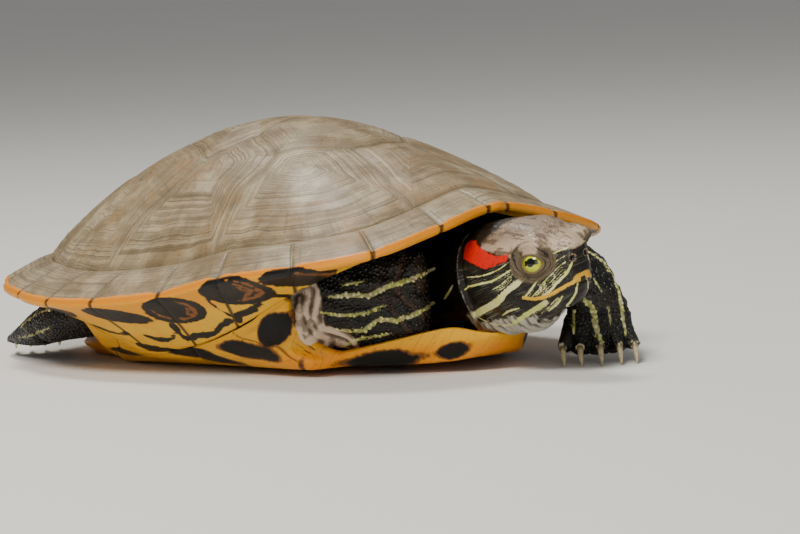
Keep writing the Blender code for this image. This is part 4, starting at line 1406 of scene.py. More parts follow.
@dataclass(frozen=True)
class SkinFinish:
    """Black scaly skin with yellow-green stripes, a red patch and pale bare folds."""

    black: Colour = (0.003, 0.0028, 0.002)
    brown: Colour = (0.014, 0.010, 0.006)
    # grey-brown streaks along the head, also the painted glints on the scales
    streak: Colour = (0.21, 0.19, 0.12)
    stripe: Colour = (0.64, 0.66, 0.17)
    stripe_pale: Colour = (0.78, 0.74, 0.36)
    red: Colour = (0.68, 0.012, 0.004)
    red_deep: Colour = (0.45, 0.008, 0.004)
    orange: Colour = (0.70, 0.33, 0.006)
    yellow: Colour = (0.74, 0.47, 0.05)
    tan: Colour = (0.50, 0.37, 0.25)
    # dark mottling of the crown, also the painted shade at the top of the head
    tan_dark_and_top_shade: Colour = (0.10, 0.060, 0.032)
    lid: Colour = (0.12, 0.086, 0.046)
    lid_line: Colour = (0.020, 0.012, 0.007)
    # pale upper lid: partly its own pale skin, partly a painted highlight
    lid_pale_and_highlight: Colour = (0.52, 0.39, 0.28)
    lid_edge: Colour = (0.16, 0.11, 0.03)
    cuff: Colour = (0.52, 0.47, 0.27)
    ring: Colour = (0.33, 0.22, 0.14)
    bare: Colour = (0.80, 0.62, 0.44)
    # darker tone of the bare folds, also the painted shade in the valleys of creases
    bare_dark_and_crease_shade: Colour = (0.075, 0.04, 0.022)
    # pale throat, also the painted highlight along the sheath fold
    throat: Colour = (0.44, 0.42, 0.34)
    # painted shade inside the nostrils
    hollow: Colour = (0.004, 0.003, 0.003)
    roughness: float = 0.36

    def _ground(self, tree: Finish, scales: bool) -> tuple[Number, Number]:
        """Build what the skin and its raised scales have in common.

        Args:
            tree: The material.
            scales: Whether the mesh is the raised scales.

        Returns:
            The colour, and the distance to the nearest stripe.
        """
        colour = tree.layers(
            self.black, (tree.noise(120.0, 4.0).between(0.42, 0.62), self.brown),
            # painted glints: a grey speckle, stronger on the raised scales
            (tree.noise(1400.0, 3.0, 0.6).between(0.56, 0.72) * (0.42 if scales else 0.14), self.streak))
        if scales:
            return colour, tree.value("mark")
        near = tree.read("ShaderNodeAttribute", "Vector", attribute_name="near")
        gap = tree.read("ShaderNodeVectorMath", "Value", {0: tree.place(), 1: near}, operation="DISTANCE")
        guard = tree.value("guard") - 0.55
        distance = tree.math("MAXIMUM", gap * PER_METRE, guard) - tree.value("wide")
        hairs = tree.noise(1.0, 3.0, 0.6, tree.vector(tree.value("grain") * 2.9, tree.value("along") * 0.10))
        colour = tree.layers(colour, (hairs.between(0.55, 0.68) * tree.value("haired"), self.streak))
        return colour, distance

    def colour(self, tree: Finish, scales: bool) -> Number:
        """Build the black skin with its bare folds and painted shade in their creases, pale throat, tan crown with
        painted shade at its top, and stripes.

        Args:
            tree: The material.
            scales: Whether the mesh is the raised scales.

        Returns:
            The colour.
        """
        colour, distance = self._ground(tree, scales)
        bare, under = tree.value("bare"), tree.value("throat")
        folds = tree.mix(tree.noise(200.0, 4.0, 0.6).between(0.52, 0.40) * 0.62, self.bare, self.bare_dark_and_crease_shade)
        shown = bare + (tree.noise(260.0) - 0.5) * 0.9
        belt = under + (tree.noise(420.0, 2.0) - 0.5) * 1.6
        flow = tree.read("ShaderNodeMapping", "Vector", {"Vector": tree.place(), "Scale": (130.0, 520.0, 520.0)})
        crown = tree.layers(
            self.tan, (tree.noise(150.0, 5.0, 0.65).between(0.50, 0.34), self.tan_dark_and_top_shade),
            # painted shade: the top of the head is painted darker, as shade from the shell's rim
            (tree.value("top") * 0.62, self.tan_dark_and_top_shade),
            (tree.noise(1.0, 4.0, 0.6, flow).between(0.49, 0.62) * 0.8, self.tan_dark_and_top_shade))
        tan = tree.value("tan") + (tree.noise(330.0, 4.0, 0.6) - 0.5) * 1.1
        stripes = tree.marking(distance, 0.22, 0.14, 1.0)
        if not scales:
            # Between the raised scales the stripes are dimmer, so they read as rows of beads.
            stripes = stripes * tree.value("scaly").between(2.0, 0.0)
        ink = tree.mix(tree.noise(200.0).between(0.4, 0.6), self.stripe, self.stripe_pale)
        return tree.layers(
            colour, (shown.between(0.35, 0.75) * bare.between(0.02, 0.2), folds),
            (belt.between(0.45, 0.75) * under.between(0.02, 0.25), self.throat), (tan.between(0.25, 0.80), crown),
            # painted shade: the valleys of the creases are darkened
            (tree.value("crease") * 0.8, self.bare_dark_and_crease_shade), (stripes, ink))

    def _head_marks(self, tree: Finish, colour: Number) -> Number:
        """Lay the red patch, beak, lids with the upper lid's painted highlight, nostrils with painted shade in
        their holes, cuffs and sheath with its painted highlight over the skin's colour.

        Args:
            tree: The material.
            colour: The skin's colour.

        Returns:
            The finished colour.
        """
        lid, upper = tree.value("lid"), tree.value("upper")
        rings = tree.noise(2.3, 3.0, 0.6, tree.vector(lid + tree.noise(180.0) * 0.5, 0.0))
        skin = tree.layers(
            self.lid_line, (rings.between(0.42, 0.49), tree.mix(upper.between(0.0, 0.5), self.lid, self.tan)),
            # the upper lid is painted paler: partly its pale skin, partly a painted highlight
            (upper.between(0.2, 1.0) * 0.62, self.lid_pale_and_highlight))
        fold = tree.value("fold") + tree.noise(700.0, 3.0) * 0.3
        cuff = tree.value("cuff") * tree.noise(800.0, 3.0).between(0.36, 0.56)
        return tree.layers(
            colour,
            (tree.marking("red", 0.35, 0.3, 1.5),
             tree.mix(tree.noise(420.0, 3.0).between(0.60, 0.70), self.red, self.red_deep)),
            (tree.marking("beak", 0.12, 0.18, 1.0), tree.mix(tree.noise(300.0), self.orange, self.yellow)),
            ((lid + tree.noise(350.0) * 1.2).between(4.9, 3.7), skin), (lid.between(0.45, 0.20), self.lid_edge),
            (tree.marking("ring", 0.15, 0.15, 0.8) * tree.noise(900.0).between(0.35, 0.6), self.ring),
            # painted shade: the nostrils' holes are painted near black
            (cuff.between(0.3, 0.7), self.cuff), (tree.value("hollow"), self.hollow),
            # painted highlight: a pale line along the sheath fold's edge
            (fold.between(0.36, 0.24) * 0.55, self.throat))

    def material(self, scales: bool = False) -> bpy.types.Material:
        """Build the finish for the skin or for its raised scales.

        Args:
            scales: Whether the mesh is the raised scales.

        Returns:
            The material.
        """
        tree = Finish("skin_scales" if scales else "skin")
        colour = self.colour(tree, scales)
        if not scales:
            colour = self._head_marks(tree, colour)
        down, up = (0.22, 0.02) if scales else (0.12, 0.18)
        cells = tree.read("ShaderNodeTexVoronoi", "Distance", {
            "Vector": tree.place(), "Scale": 900.0}, feature="DISTANCE_TO_EDGE")
        return tree.done({
            "Base Color": colour,
            "Roughness": tree.noise(220.0, 4.0).spread(self.roughness - down, self.roughness + up),
            "Specular IOR Level": 0.5 if scales else 0.34, "Coat Weight": 0.06, "Coat Roughness": 0.15,
            "Subsurface Weight": 0.02, "Subsurface Radius": (0.0012, 0.0006, 0.0003),
        }, cells.between(0.0, 0.16) * 0.5 + tree.noise(700.0, 4.0, 0.6), 0.4, 0.0004)


@dataclass
class Skin:
    """All of the flesh as one skin, from the snout to the tail."""

    voxel: float = 1.01
    hidden_share: float = 0.08
    head_stations: tuple = (
        (0.8, 2.0, 2.2, -5.6, -1.5), (0.5, 3.3, 3.7, -9.6, -2.5), (-0.8, 4.8, 5.2, -12.8, -3.5),
        (-3.5, 6.4, 6.9, -14.8, -4.5), (-7.5, 8.7, 8.9, -15.8, -3.5), (-11.5, 10.8, 11.9, -16.2, -1.5),
        (-15.5, 12.1, 14.2, -16.6, -1.5), (-21.0, 13.6, 16.6, -17.0, -2.0), (-28.0, 14.8, 18.0, -17.2, -1.5),
        (-35.0, 15.3, 18.4, -16.6, 0.0), (-42.0, 14.8, 17.6, -15.6, 0.5), (-47.0, 12.6, 15.6, -13.6, 0.5),
    )
    squareness: float = 0.86
    neck: tuple = (
        ((100.5, 2.0, 30.0), 14.6, 15.8), ((96.1, 2.4, 29.4), 15.6, 17.0), ((90.2, 2.8, 28.0), 14.6, 15.8),
        ((82.0, 3.8, 26.4), 13.4, 14.4), ((68.0, 4.5, 26.5), 13.6, 15.0), ((52.0, 2.5, 27.0), 17.0, 16.0),
        ((38.0, 1.0, 27.4), 22.0, 17.4),
    )
    shoulders: tuple = (
        ((62.0, 0.0, 26.0), 40.0, 12.0), ((54.0, 0.0, 26.0), 45.0, 15.0), ((40.0, 0.0, 27.0), 47.0, 18.0),
        ((20.0, 0.0, 28.0), 48.0, 19.0),
    )
    barrel: tuple = (
        ((38.5, -33.5, 22.5), 15.5, 15.0), ((50.0, -32.5, 22.0), 15.0, 15.6), ((61.0, -32.6, 21.8), 9.8, 16.0),
        ((69.5, -29.2, 22.0), 8.4, 16.2), ((77.0, -24.3, 22.8), 7.4, 15.6), ((82.5, -20.2, 23.4), 5.6, 14.4),
    )
    left_arm: tuple = (
        ((84.0, 37.0, 27.0), 10.0, 9.5), ((93.0, 38.0, 27.0), 9.5, 9.4), ((101.0, 38.5, 25.6), 8.8, 9.2),
        ((107.0, 39.5, 21.5), 7.8, 8.6), ((110.0, 40.0, 16.0), 7.0, 8.0),
    )
    pockets: tuple = (((48.8, 41.4, 15.0), (8.2, 9.2, 11.6)), ((47.6, 38.2, 24.0), (9.2, 8.2, 9.0)))
    lean: tuple = (3.3, 1.2)
    lumps: tuple = (  # centre and half sizes, in the head's axes
        ((-13.0, 7.6, 4.6), (7.2, 4.6, 5.4)), ((-13.0, -7.6, 4.6), (7.2, 4.6, 5.4)),
        ((-27.0, 0.0, -9.5), (15.0, 11.8, 11.6)), ((-38.0, 0.0, -8.0), (12.0, 12.6, 12.4)),
        ((-44.0, 0.0, -9.0), (10.0, 12.0, 11.0)),
    )
    eye_radius: float = 5.1
    lid_radius: float = 6.1
    iris_way: tuple = (0.33, 0.94, 0.09)
    aperture: tuple = (4.05, 3.05)
    lid_folds: tuple = (  # height, distance from the opening and width of each roll and hollow
        (0.22, 0.45, 0.45), (-0.34, 1.35, 0.42), (0.26, 2.2, 0.6), (-0.30, 3.1, 0.4), (0.20, 3.9, 0.6),
        (-0.22, 4.9, 0.4), (-0.50, 0.0, 0.55),
    )
    copied: tuple = (
        "foreleg_left", "forefoot_left", "forefoot_right", "hindleg_left", "hindleg_right", "hindfoot_left",
        "hindfoot_right", "tail", "trunk",
    )
    replaced: tuple = ("neck", "head", "lower_jaw", "foreleg_right")
    mouth: tuple = (
        (1.4, -6.2), (0.9, -7.5), (-1.7, -8.8), (-4.7, -9.9), (-8.0, -10.9), (-11.7, -11.4), (-15.1, -11.1),
        (-17.9, -10.2),
    )
    red_patch: tuple = (
        (-43.2, 10.6), (-41.6, 12.0), (-37.0, 12.4), (-34.6, 10.4), (-31.6, 8.6), (-27.6, 6.4), (-24.0, 5.4),
        (-20.2, 5.0), (-20.8, 3.6), (-24.6, 2.9), (-28.0, 2.3), (-31.0, 2.0), (-34.0, 3.4), (-38.0, 5.2),
        (-42.4, 7.4),
    )
    strokes: tuple = (
        Stroke(((-41.0, 0.6), (-33.1, 0.0), (-28.4, 0.3), (-24.1, 1.2), (-20.2, 2.7)), 0.55),
        Stroke(((-44.0, -3.2), (-41.0, -2.6), (-38.5, -2.6), (-33.2, -2.5), (-28.5, -2.4), (-23.9, -1.3),
                (-19.2, 0.2)), 1.0),
        Stroke(((-29.0, -5.2), (-24.9, -4.2), (-21.7, -2.8), (-19.0, -1.4)), 0.5),
        Stroke(((-27.0, -6.2), (-23.0, -4.9), (-19.8, -3.0)), 0.32),
        Stroke(((-15.4, -3.0), (-18.2, -4.9), (-21.1, -6.0)), 2.0, 0.1),
        Stroke(((-21.1, -6.0), (-24.0, -7.0), (-26.0, -8.2), (-30.5, -9.8), (-36.3, -10.8), (-41.9, -11.6),
                (-46.0, -12.2)), 2.7, 0.3),
        Stroke(((-10.4, -5.0), (-13.6, -7.5), (-17.6, -10.0)), 0.9),
        Stroke(((-8.0, -6.3), (-12.2, -8.8), (-14.8, -10.2)), 0.5),
        Stroke(((0.9, -1.2), (-0.3, -3.5), (-2.2, -5.3), (-4.8, -7.1), (-7.4, -9.0), (-11.0, -10.5)), 1.25, 0.25),
        Stroke(((-0.8, 1.5), (-3.3, 0.5), (-5.4, -0.7), (-6.8, -2.4)), 0.42),
        Stroke(((-0.8, -0.5), (-3.4, -1.9), (-5.6, -3.7), (-8.2, -5.6), (-10.2, -6.9)), 0.42),
        Stroke(((-2.0, -2.9), (-4.4, -4.6), (-6.8, -6.5), (-9.7, -8.4), (-13.0, -10.0)), 0.30),
        Stroke(((-11.0, -12.4), (-14.1, -13.3), (-18.0, -14.5), (-21.5, -15.6)), 2.0, 0.1),
        Stroke(((-21.5, -15.6), (-25.0, -16.6), (-28.3, -17.4)), 1.5, 0.1),
        Stroke(((-28.3, -17.4), (-32.0, -17.6), (-37.2, -16.6), (-41.2, -14.6), (-44.5, -12.4)), 0.8),
        Stroke(((-21.5, -12.8), (-26.0, -13.1), (-31.0, -14.1)), 1.0, 0.6),
        Stroke(((-3.9, -11.5), (-9.1, -14.1), (-13.4, -15.4)), 1.1, 0.5),
        Stroke(((-6.0, -11.6), (-11.0, -13.9), (-16.5, -15.7)), 0.4),
        Stroke(((1.2, -8.4), (0.3, -11.4), (-2.0, -14.0), (-6.0, -15.4)), 1.15, 0.3),
        Stroke(((-6.0, 2.5), (-2.4, 3.6), (0.4, 4.0)), 0.7, 0.6),
    )
    # The legs' stripes: width, then the path. The left hind leg mirrors the right one.
    fore_stripes: tuple = (
        (2.0, (60.0, -42.7, 24.3), (67.9, -39.3, 24.8), (73.7, -36.0, 24.6), (76.7, -33.5, 26.5),
         (81.6, -28.7, 28.4), (85.0, -23.9, 30.1), (87.0, -18.0, 32.0)),
        (0.9, (63.5, -40.0, 28.0), (71.2, -36.5, 29.3)),
        (1.5, (57.0, -44.1, 19.2), (62.0, -42.0, 18.2), (66.7, -39.7, 18.0), (73.2, -36.4, 19.2),
         (77.5, -33.3, 21.0)),
        (2.1, (60.7, -41.0, 13.3), (65.2, -38.8, 12.5), (69.9, -36.7, 12.7), (75.4, -34.0, 16.0),
         (79.7, -30.3, 15.7), (83.9, -25.7, 17.4), (87.0, -19.0, 20.5)),
        (1.3, (58.5, -36.0, 6.9), (67.2, -36.3, 9.6), (72.8, -33.5, 10.4), (76.5, -30.9, 11.0)),
        (1.0, (81.7, -6.0, 25.2), (80.8, -7.3, 22.6), (80.0, -8.5, 20.6)),
        (1.7, (105.0, 30.0, 34.5), (109.0, 33.4, 33.3), (111.7, 36.2, 30.4), (114.2, 38.5, 25.6),
         (115.8, 39.6, 19.1), (116.5, 39.7, 12.8), (117.2, 39.7, 4.5)),
        (2.3, (107.0, 29.4, 18.4), (108.6, 31.2, 16.2), (109.9, 32.4, 13.7), (110.2, 32.3, 9.8),
         (111.2, 32.8, 5.1), (111.8, 33.2, 2.0)),
        (1.2, (105.7, 27.5, 13.9), (105.6, 26.5, 6.1)), (0.8, (110.0, 33.6, 24.2), (111.9, 35.2, 19.5)),
        (0.8, (113.4, 36.4, 14.4), (113.8, 36.2, 8.4)), (1.0, (119.9, 43.2, 9.6), (120.3, 42.9, 1.8)),
    )
    outer_stripes: tuple = (
        (1.4, (104.0, 52.0, 28.0), (110.0, 52.0, 18.0), (113.0, 52.0, 6.0)),
        (1.2, (98.0, 52.0, 24.0), (103.0, 52.0, 14.0), (107.0, 52.0, 5.0)),
    )
    hind_stripes: tuple = (
        (1.2, (-60.0, -70.0, 20.0), (-72.0, -70.0, 17.0), (-84.0, -66.0, 12.0)),
        (1.0, (-62.0, -70.0, 13.0), (-74.0, -70.0, 10.0), (-88.0, -62.0, 8.0)),
    )

    # -- form

    def _head_rings(self) -> Array:
        """Return the rings of the head in its own axes."""
        rows = np.array(self.head_stations)
        keys = np.arange(len(rows))
        fine = hermite(keys, rows, np.linspace(0, len(rows) - 1, (len(rows) - 1) * 6 + 1))
        turn = 2.0 * math.pi * (np.arange(72) + 0.5) / 72
        rings = []
        for x, wide, top, bottom, waist in fine:
            y = wide * np.sign(np.cos(turn)) * np.abs(np.cos(turn)) ** self.squareness
            tall = np.where(np.sin(turn) > 0, top - waist, waist - bottom)
            z = waist + tall * np.sign(np.sin(turn)) * np.abs(np.sin(turn)) ** self.squareness
            rings.append(np.stack([np.full_like(y, x), y, z], 1))
        return np.array(rings)

    def _copies(self) -> list[bpy.types.Object]:
        """Return smooth copies of the solids whose form is kept."""
        made = []
        for name in self.copied:
            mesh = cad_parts[name].data.copy()
            with opened(mesh) as work:
                bmesh.ops.remove_doubles(work, verts=work.verts, dist=MERGE)
            obj = new_object("flesh_" + name, mesh)
            soft = obj.modifiers.new("soft", "SUBSURF")
            soft.levels = soft.render_levels = 1 if name == "forefoot_left" else 2
            made.append(obj)
        return made

    def _forms(self) -> bpy.types.Object:
        """Return all forms joined into one object, still overlapping."""
        patch = Patchwork([])
        for rings, bulge in (
            (soft_tube(self.neck), (1.0, 1.0)), (soft_tube(self.shoulders, sides=64), (6.0, 1.0)),
            (soft_tube(self.barrel), (2.0, 1.6)), (soft_tube(self.left_arm), (2.0, 4.0)),
        ):
            patch.grid(capped(rings, bulge), {}, closed=True)
        patch.grid(moved(capped(self._head_rings(), (0.25, 0.3)), HEAD), {}, closed=True)
        lids = [(self.eye_centre(side), (self.lid_radius - 0.2,) * 3) for side in Side]
        for centre, half in (*lids, *self.lumps):
            patch.grid(moved(ellipsoid(centre, half), HEAD), {}, closed=True)
        for side in Side:
            for (x, y, z), half in self.pockets:
                patch.grid(ellipsoid((x, y * side.value, z), half), {}, closed=True)
        body = patch.build("turtle_skin")
        for obj in self._copies():
            applied(obj)
            with opened(body.data) as joined:
                joined.from_mesh(obj.data)
            bpy.data.objects.remove(obj)
        return body

    def _welded(self, body: bpy.types.Object) -> None:
        """Weld the forms into one closed skin and smooth it.

        Args:
            body: The skin.
        """
        weld = body.modifiers.new("weld", "REMESH")
        weld.mode = "VOXEL"
        weld.voxel_size = self.voxel * MM
        soft = body.modifiers.new("soft", "SMOOTH")
        soft.factor, soft.iterations = 0.5, 4
        applied(body)
        # Inside the shell the mesh is thinned out.
        spots = moved(vertex_rows(body.data), PLACE.inverted())
        inside = (spots[:, 0] > -52.0) & (spots[:, 0] < 40.0)
        group = body.vertex_groups.new(name="inside")
        group.add(np.flatnonzero(inside).tolist(), 1.0, "REPLACE")
        thin = body.modifiers.new("thin", "DECIMATE")
        thin.vertex_group = "inside"
        thin.ratio = 1.0 - float(inside.mean()) * (1.0 - self.hidden_share)
        applied(body)
        body.vertex_groups.clear()

    def eye_centre(self, side: Side) -> tuple[float, float, float]:
        """Return an eyeball's centre in the head's axes."""
        return STANCE.eye[0], STANCE.eye[1] * side.value, STANCE.eye[2]

    def _refined(self, body: bpy.types.Object) -> None:
        """Halve the mesh's cells over the head, the right foreleg and the left foreleg.

        Args:
            body: The skin.
        """
        spots = moved(vertex_rows(body.data), PLACE.inverted())
        local = moved(spots, HEAD.inverted())
        head = (local[:, 0] > -47.0) & (np.abs(local[:, 1]) < 19.0) & (local[:, 2] > -27.0)
        barrel = (spots[:, 0] > 44.0) & (spots[:, 1] < -18.0) & (spots[:, 0] < 90.0) & (spots[:, 2] < 38.0)
        foot = (spots[:, 0] > 84.0) & (spots[:, 1] > 22.0)
        chosen = head | barrel | foot
        with opened(body.data) as work:
            edges = [edge for edge in work.edges if all(chosen[end.index] for end in edge.verts)]
            bmesh.ops.subdivide_edges(work, edges=edges, cuts=1, use_grid_fill=True, smooth=0.0)
        soft = body.modifiers.new("soft", "SMOOTH")
        soft.factor, soft.iterations = 0.5, 3
        applied(body)

    def leaned(self, local: Array) -> Array:
        """Return head points with the left side lifted, as the head leans over to the right.

        Args:
            local: Points in the head's axes.

        Returns:
            The moved points.
        """
        share = ramp(local[:, 1], -5.0, 11.0) * ramp(local[:, 0], -30.0, -15.0) * ramp(local[:, 1], 20.0, 17.0)
        up, out = self.lean
        return local + np.outer(share, [0.0, out, up])

    # -- sculpting

    def eye_axes(self, side: Side) -> tuple[Array, Array, Array]:
        """Return the eye's outward, forward and upward directions in the head's axes.

        Args:
            side: Which side of the animal.

        Returns:
            The three directions.
        """
        out = np.array([self.iris_way[0], self.iris_way[1] * side.value, self.iris_way[2]])
        out /= np.linalg.norm(out)
        front = np.array([1.0, 0.0, 0.0]) - out * out[0]
        front /= np.linalg.norm(front)
        up = np.cross(out, front) * -side.value
        if up[2] < 0:
            up = -up
        return out, front, up

    def _eye_fields(self, local: Array, side: Side) -> tuple[Array, Array, Array, Array]:
        """Return lid distance, outward share and the two lateral coordinates round one eye.

        Args:
            local: Points in the head's axes.
            side: Which side of the animal.

        Returns:
            The four numbers per point, in millimetres.
        """
        out, front, up = self.eye_axes(side)
        offset = local - np.array(self.eye_centre(side))
        ahead, across, rise = offset @ out, offset @ front, offset @ up
        # The opening is an almond: its front corner is drawn out and a little down.
        bent = rise + 0.06 * across + 0.42
        wide = self.aperture[0] * (1.0 + 0.06 * ramp(across, 0.0, 4.0) + 0.10 * ramp(across, 0.0, -4.0))
        tall = self.aperture[1] * (1.0 - 0.16 * ramp(across, 1.0, 4.5))
        lid = (np.hypot(across / wide, bent / tall) - 1.0) * 3.5
        return np.where(ahead > -1.0, lid, FAR), ahead, across, rise

    def _lids(self, local: Array, values: dict[str, Array]) -> tuple[Array, Array]:
        """Shape the rolled lids round both eyes.

        Args:
            local: The skin's points in the head's axes.
            values: Takes the lids' named values.

        Returns:
            The moved points, and the distance of each to the nearest opening.
        """
        lid, clear, upper = (np.full(len(local), start) for start in (FAR, FAR, 0.0))
        outer, sunk = self.lid_radius - 0.28, self.eye_radius - 1.0
        for side in Side:
            gap, ahead, across, rise = self._eye_fields(local, side)
            centre = np.array(self.eye_centre(side))
            offset = local - centre
            reach = np.linalg.norm(offset, axis=1)
            away = np.hypot(across, rise)
            near = ramp(away, 9.2, 6.2) * ramp(ahead, -0.5, 1.5)
            profile = np.full(len(local), outer)
            for size, place, width in self.lid_folds:
                profile = profile + size * bell(gap - place, width)
            over = ramp(rise, 2.8, 4.2) * ramp(np.abs(across + 0.6), 5.2, 2.2) * ramp(rise, 7.4, 5.8)
            profile = profile + 0.55 * over * bell(gap - 1.9, 1.3)
            target = np.where(gap < 0.0, sunk + (profile - sunk) * ramp(gap, -0.45, 0.02), profile)
            blend = near * ramp(gap, 5.6, 3.2)
            target = np.where(gap < 3.2, target, reach + (profile - outer))
            scale = 1.0 + blend * (target / np.maximum(reach, 1e-6) - 1.0)
            local = np.where((blend > 0.0)[:, None], centre + offset * scale[:, None], local)
            # The rings of the upper lid run on up the brow.
            drawn = gap - 1.5 * ramp(rise, -1.0, 6.0) * ramp(gap, 0.2, 4.0)
            lid = np.minimum(lid, np.where(near > 0.02, drawn, FAR))
            clear = np.minimum(clear, np.where(near > 0.02, gap, FAR))
            # The upper lid's mask, for its pale skin and painted highlight.
            upper = np.maximum(upper, over * near)
        values["lid"], values["upper"] = np.clip(lid, -3.0, 20.0), upper
        return local, clear

    def _snout(self, local: Array, shift: Array, on_head: Array, values: dict[str, Array]) -> None:
        """Shape the mouth's line, the beak and the nostrils.

        Args:
            local: The skin's points in the head's axes.
            shift: How far each point moves out, changed here.
            on_head: Which points belong to the head.
            values: Takes the named values.
        """
        side_view = one_sided(local)[:, [0, 2]]
        # Mouth: a cut below the beak's edge, which stands out a little.
        line = smooth_path(self.mouth, 0.5)
        gap = chain_distance(side_view, line)
        height = side_view[:, 1] - np.interp(side_view[:, 0], line[::-1, 0], line[::-1, 1])
        snout = ramp(local[:, 0], -19.5, -17.5)
        shift -= 0.75 * bell(height + 0.55, 0.34) * bell(gap, 1.6) * snout
        shift += 0.28 * bell(height - 0.35, 0.7) * bell(gap, 2.0) * snout
        shift -= 0.25 * ramp(height, -0.8, -1.4) * ramp(height, -4.5, -2.0) * snout
        beak = np.where(height > -0.15, gap - 1.15, 4.0) + 3.0 * (1.0 - snout)
        beak = np.where(bell(local[:, 1], 1.2) > 0.5, np.maximum(beak, np.abs(side_view[:, 1] + 5.6) - 1.0), beak)
        values["beak"] = np.where(on_head, beak, 9.0)
        hollow, nostril = np.zeros(len(local)), np.full(len(local), 9.0)
        for side in Side:
            hole = np.linalg.norm(local - np.array([0.5, 2.75 * side.value, 0.35]), axis=1)
            shift -= 1.35 * bell(hole, 0.72)
            shift += 0.26 * bell(hole - 1.40, 0.45)
            # where the nostrils' holes are painted near black as shade
            hollow = np.maximum(hollow, ramp(hole, 0.85, 0.5))
            nostril = np.minimum(nostril, np.abs(hole - 1.20) - 0.24)
        values["hollow"], values["ring"] = hollow, nostril

    def _head_folds(self, local: Array, shift: Array, clear: Array, values: dict[str, Array]) -> None:
        """Shape the brow, the ridges to the nostrils and the sheath behind the head.

        Args:
            local: The skin's points in the head's axes.
            shift: How far each point moves out, changed here.
            clear: Distance of each point to the nearest eye's opening.
            values: Takes the named values.
        """
        # The far brow bulges over the eye.
        brow = np.linalg.norm(local - np.array([-7.4, 9.6, 2.4]), axis=1)
        shift += 2.7 * bell(brow, 4.4) * ramp(clear, 1.0, 3.0)
        for side in Side:
            ridge = smooth_path([(-7.0, 6.3 * side.value, 4.6), (-3.5, 4.6 * side.value, 4.2),
                                 (-0.6, 2.6 * side.value, 3.0)], 0.6)
            shift += 0.35 * bell(chain_distance(local, ridge), 1.1)
        # The sheath: a rolled fold right round the neck behind the head, with a painted highlight along its edge.
        fold = local[:, 0] + 44.4 + 0.011 * (local[:, 2] - 1.0) ** 2
        around = ramp(local[:, 0], -60.0, -52.0) * ramp(local[:, 0], -38.0, -42.0)
        shift += around * (0.8 * bell(fold + 0.7, 1.0) - 1.0 * bell(fold - 1.3, 1.0))
        values["fold"] = np.where(around > 0.0, np.abs(fold + 0.2), 9.0)

    def _wrinkles(self, spots: Array, local: Array, shift: Array, values: dict[str, Array]) -> None:
        """Shape waves across each region, from sums of fixed sines.

        Args:
            spots: The skin's points in the shell's axes.
            local: The same points in the head's axes.
            shift: How far each point moves out, changed here.
            values: Takes the named values.
        """
        x, y, z = spots.T
        ahead, side, up = local.T
        throat = ramp(up, -13.0, -17.0) * ramp(ahead, -14.0, -22.0)
        throat = np.maximum(throat, ramp(up, -9.0, -13.0) * ramp(ahead, -43.0, -46.0))
        creases = np.sin(1.75 * x + 0.5 * z + 1.9 * np.sin(0.45 * z + 0.3 * y)) + 0.55 * np.sin(
            2.9 * x - 0.8 * z + 2.1 * np.sin(0.6 * z - 0.25 * x)) + 0.35 * np.sin(1.9 * z + 1.7 * np.sin(0.5 * x))
        throat = throat * ramp(ahead, -60.0, -50.0) * ramp(np.abs(side), 19.0, 16.0)
        shift += 0.42 * throat * creases
        # The bare fold between the shell and the forelegs.
        behind = ahead < -48.0
        axilla = smooth_path([(50.0, 48.0, 24.0), (52.0, 50.0, 17.0), (54.0, 48.0, 9.0), (60.0, 41.0, 5.0)], 1.0)
        gap = chain_distance(one_sided(spots), axilla)
        bare = ramp(gap, 10.0, 6.5) * behind
        wave = np.sin(2.1 * gap + 1.4 * np.sin(0.35 * z + 0.25 * x)) + 0.6 * np.sin(
            1.3 * gap - 0.9 * z + 1.8 * np.sin(0.37 * z + 0.2 * x))
        shift += 0.45 * wave * bare
        # The forelegs' folds and rows.
        arm = (y < -12.0) & (x > 38.0) & (x < 90.0) & behind
        folds = np.sin(1.25 * x + 0.35 * z + 1.2 * np.sin(0.3 * z)) * ramp(x, 70.0, 82.0) * arm
        shift += 0.45 * folds
        shift += 0.22 * (np.sin(1.15 * z + 0.25 * x + 0.8 * np.sin(0.21 * x)) * arm * (1.0 - bare))
        left = (x > 84.0) & ((y > 24.0) | (y > 20.0) & behind)
        shift += 0.22 * np.sin(1.3 * z + 0.8 * np.sin(0.3 * (x + y))) * left * ramp(z, 7.0, 12.0)
        # The valleys of the creases, darkened in the finish as painted shade.
        valley = np.maximum(np.maximum(-creases * throat, -wave * bare), -folds * 0.8)
        values["throat"], values["bare"], values["crease"] = throat, bare, ramp(valley, 0.1, 1.0)
        values["scaly"] = ((arm & (bare < 0.35)) | left | ((x < -35.0) & (np.abs(y) > 30.0))).astype(float)

    @staticmethod
    def _tones(local: Array, on_head: Array, values: dict[str, Array]) -> None:
        """Give the crown's tan, the height at which painted shade darkens its top, and the fine hairs of colour
        along the head.

        Args:
            local: The skin's points in the head's axes.
            on_head: Which points belong to the head.
            values: Takes the named values.
        """
        ahead, up = local[:, 0], local[:, 2]
        crown = ramp(up - 0.36 * np.clip(-ahead - 18.0, 0.0, 20.0), 2.2, 4.8) * on_head * ramp(
            ahead - up, -48.0, -38.0) * ramp(ahead, -8.5, -12.0)
        values["tan"] = np.maximum(crown, ramp(up + 0.15 * ahead, 2.2, 4.0) * ramp(ahead, -14.0, -9.0) * on_head)
        # painted shade: how far up the head the rim's shade is painted
        values["top"] = ramp(up, 7.0, 13.0)
        values["haired"] = 0.75 * ramp(up, 6.0, 3.0) * ramp(up, -20.0, -16.0) * on_head
        values["along"] = ahead
        values["grain"] = up + 0.38 * np.abs(ahead + 14.0) * np.where(ahead > -14.0, -1.0, 0.35)

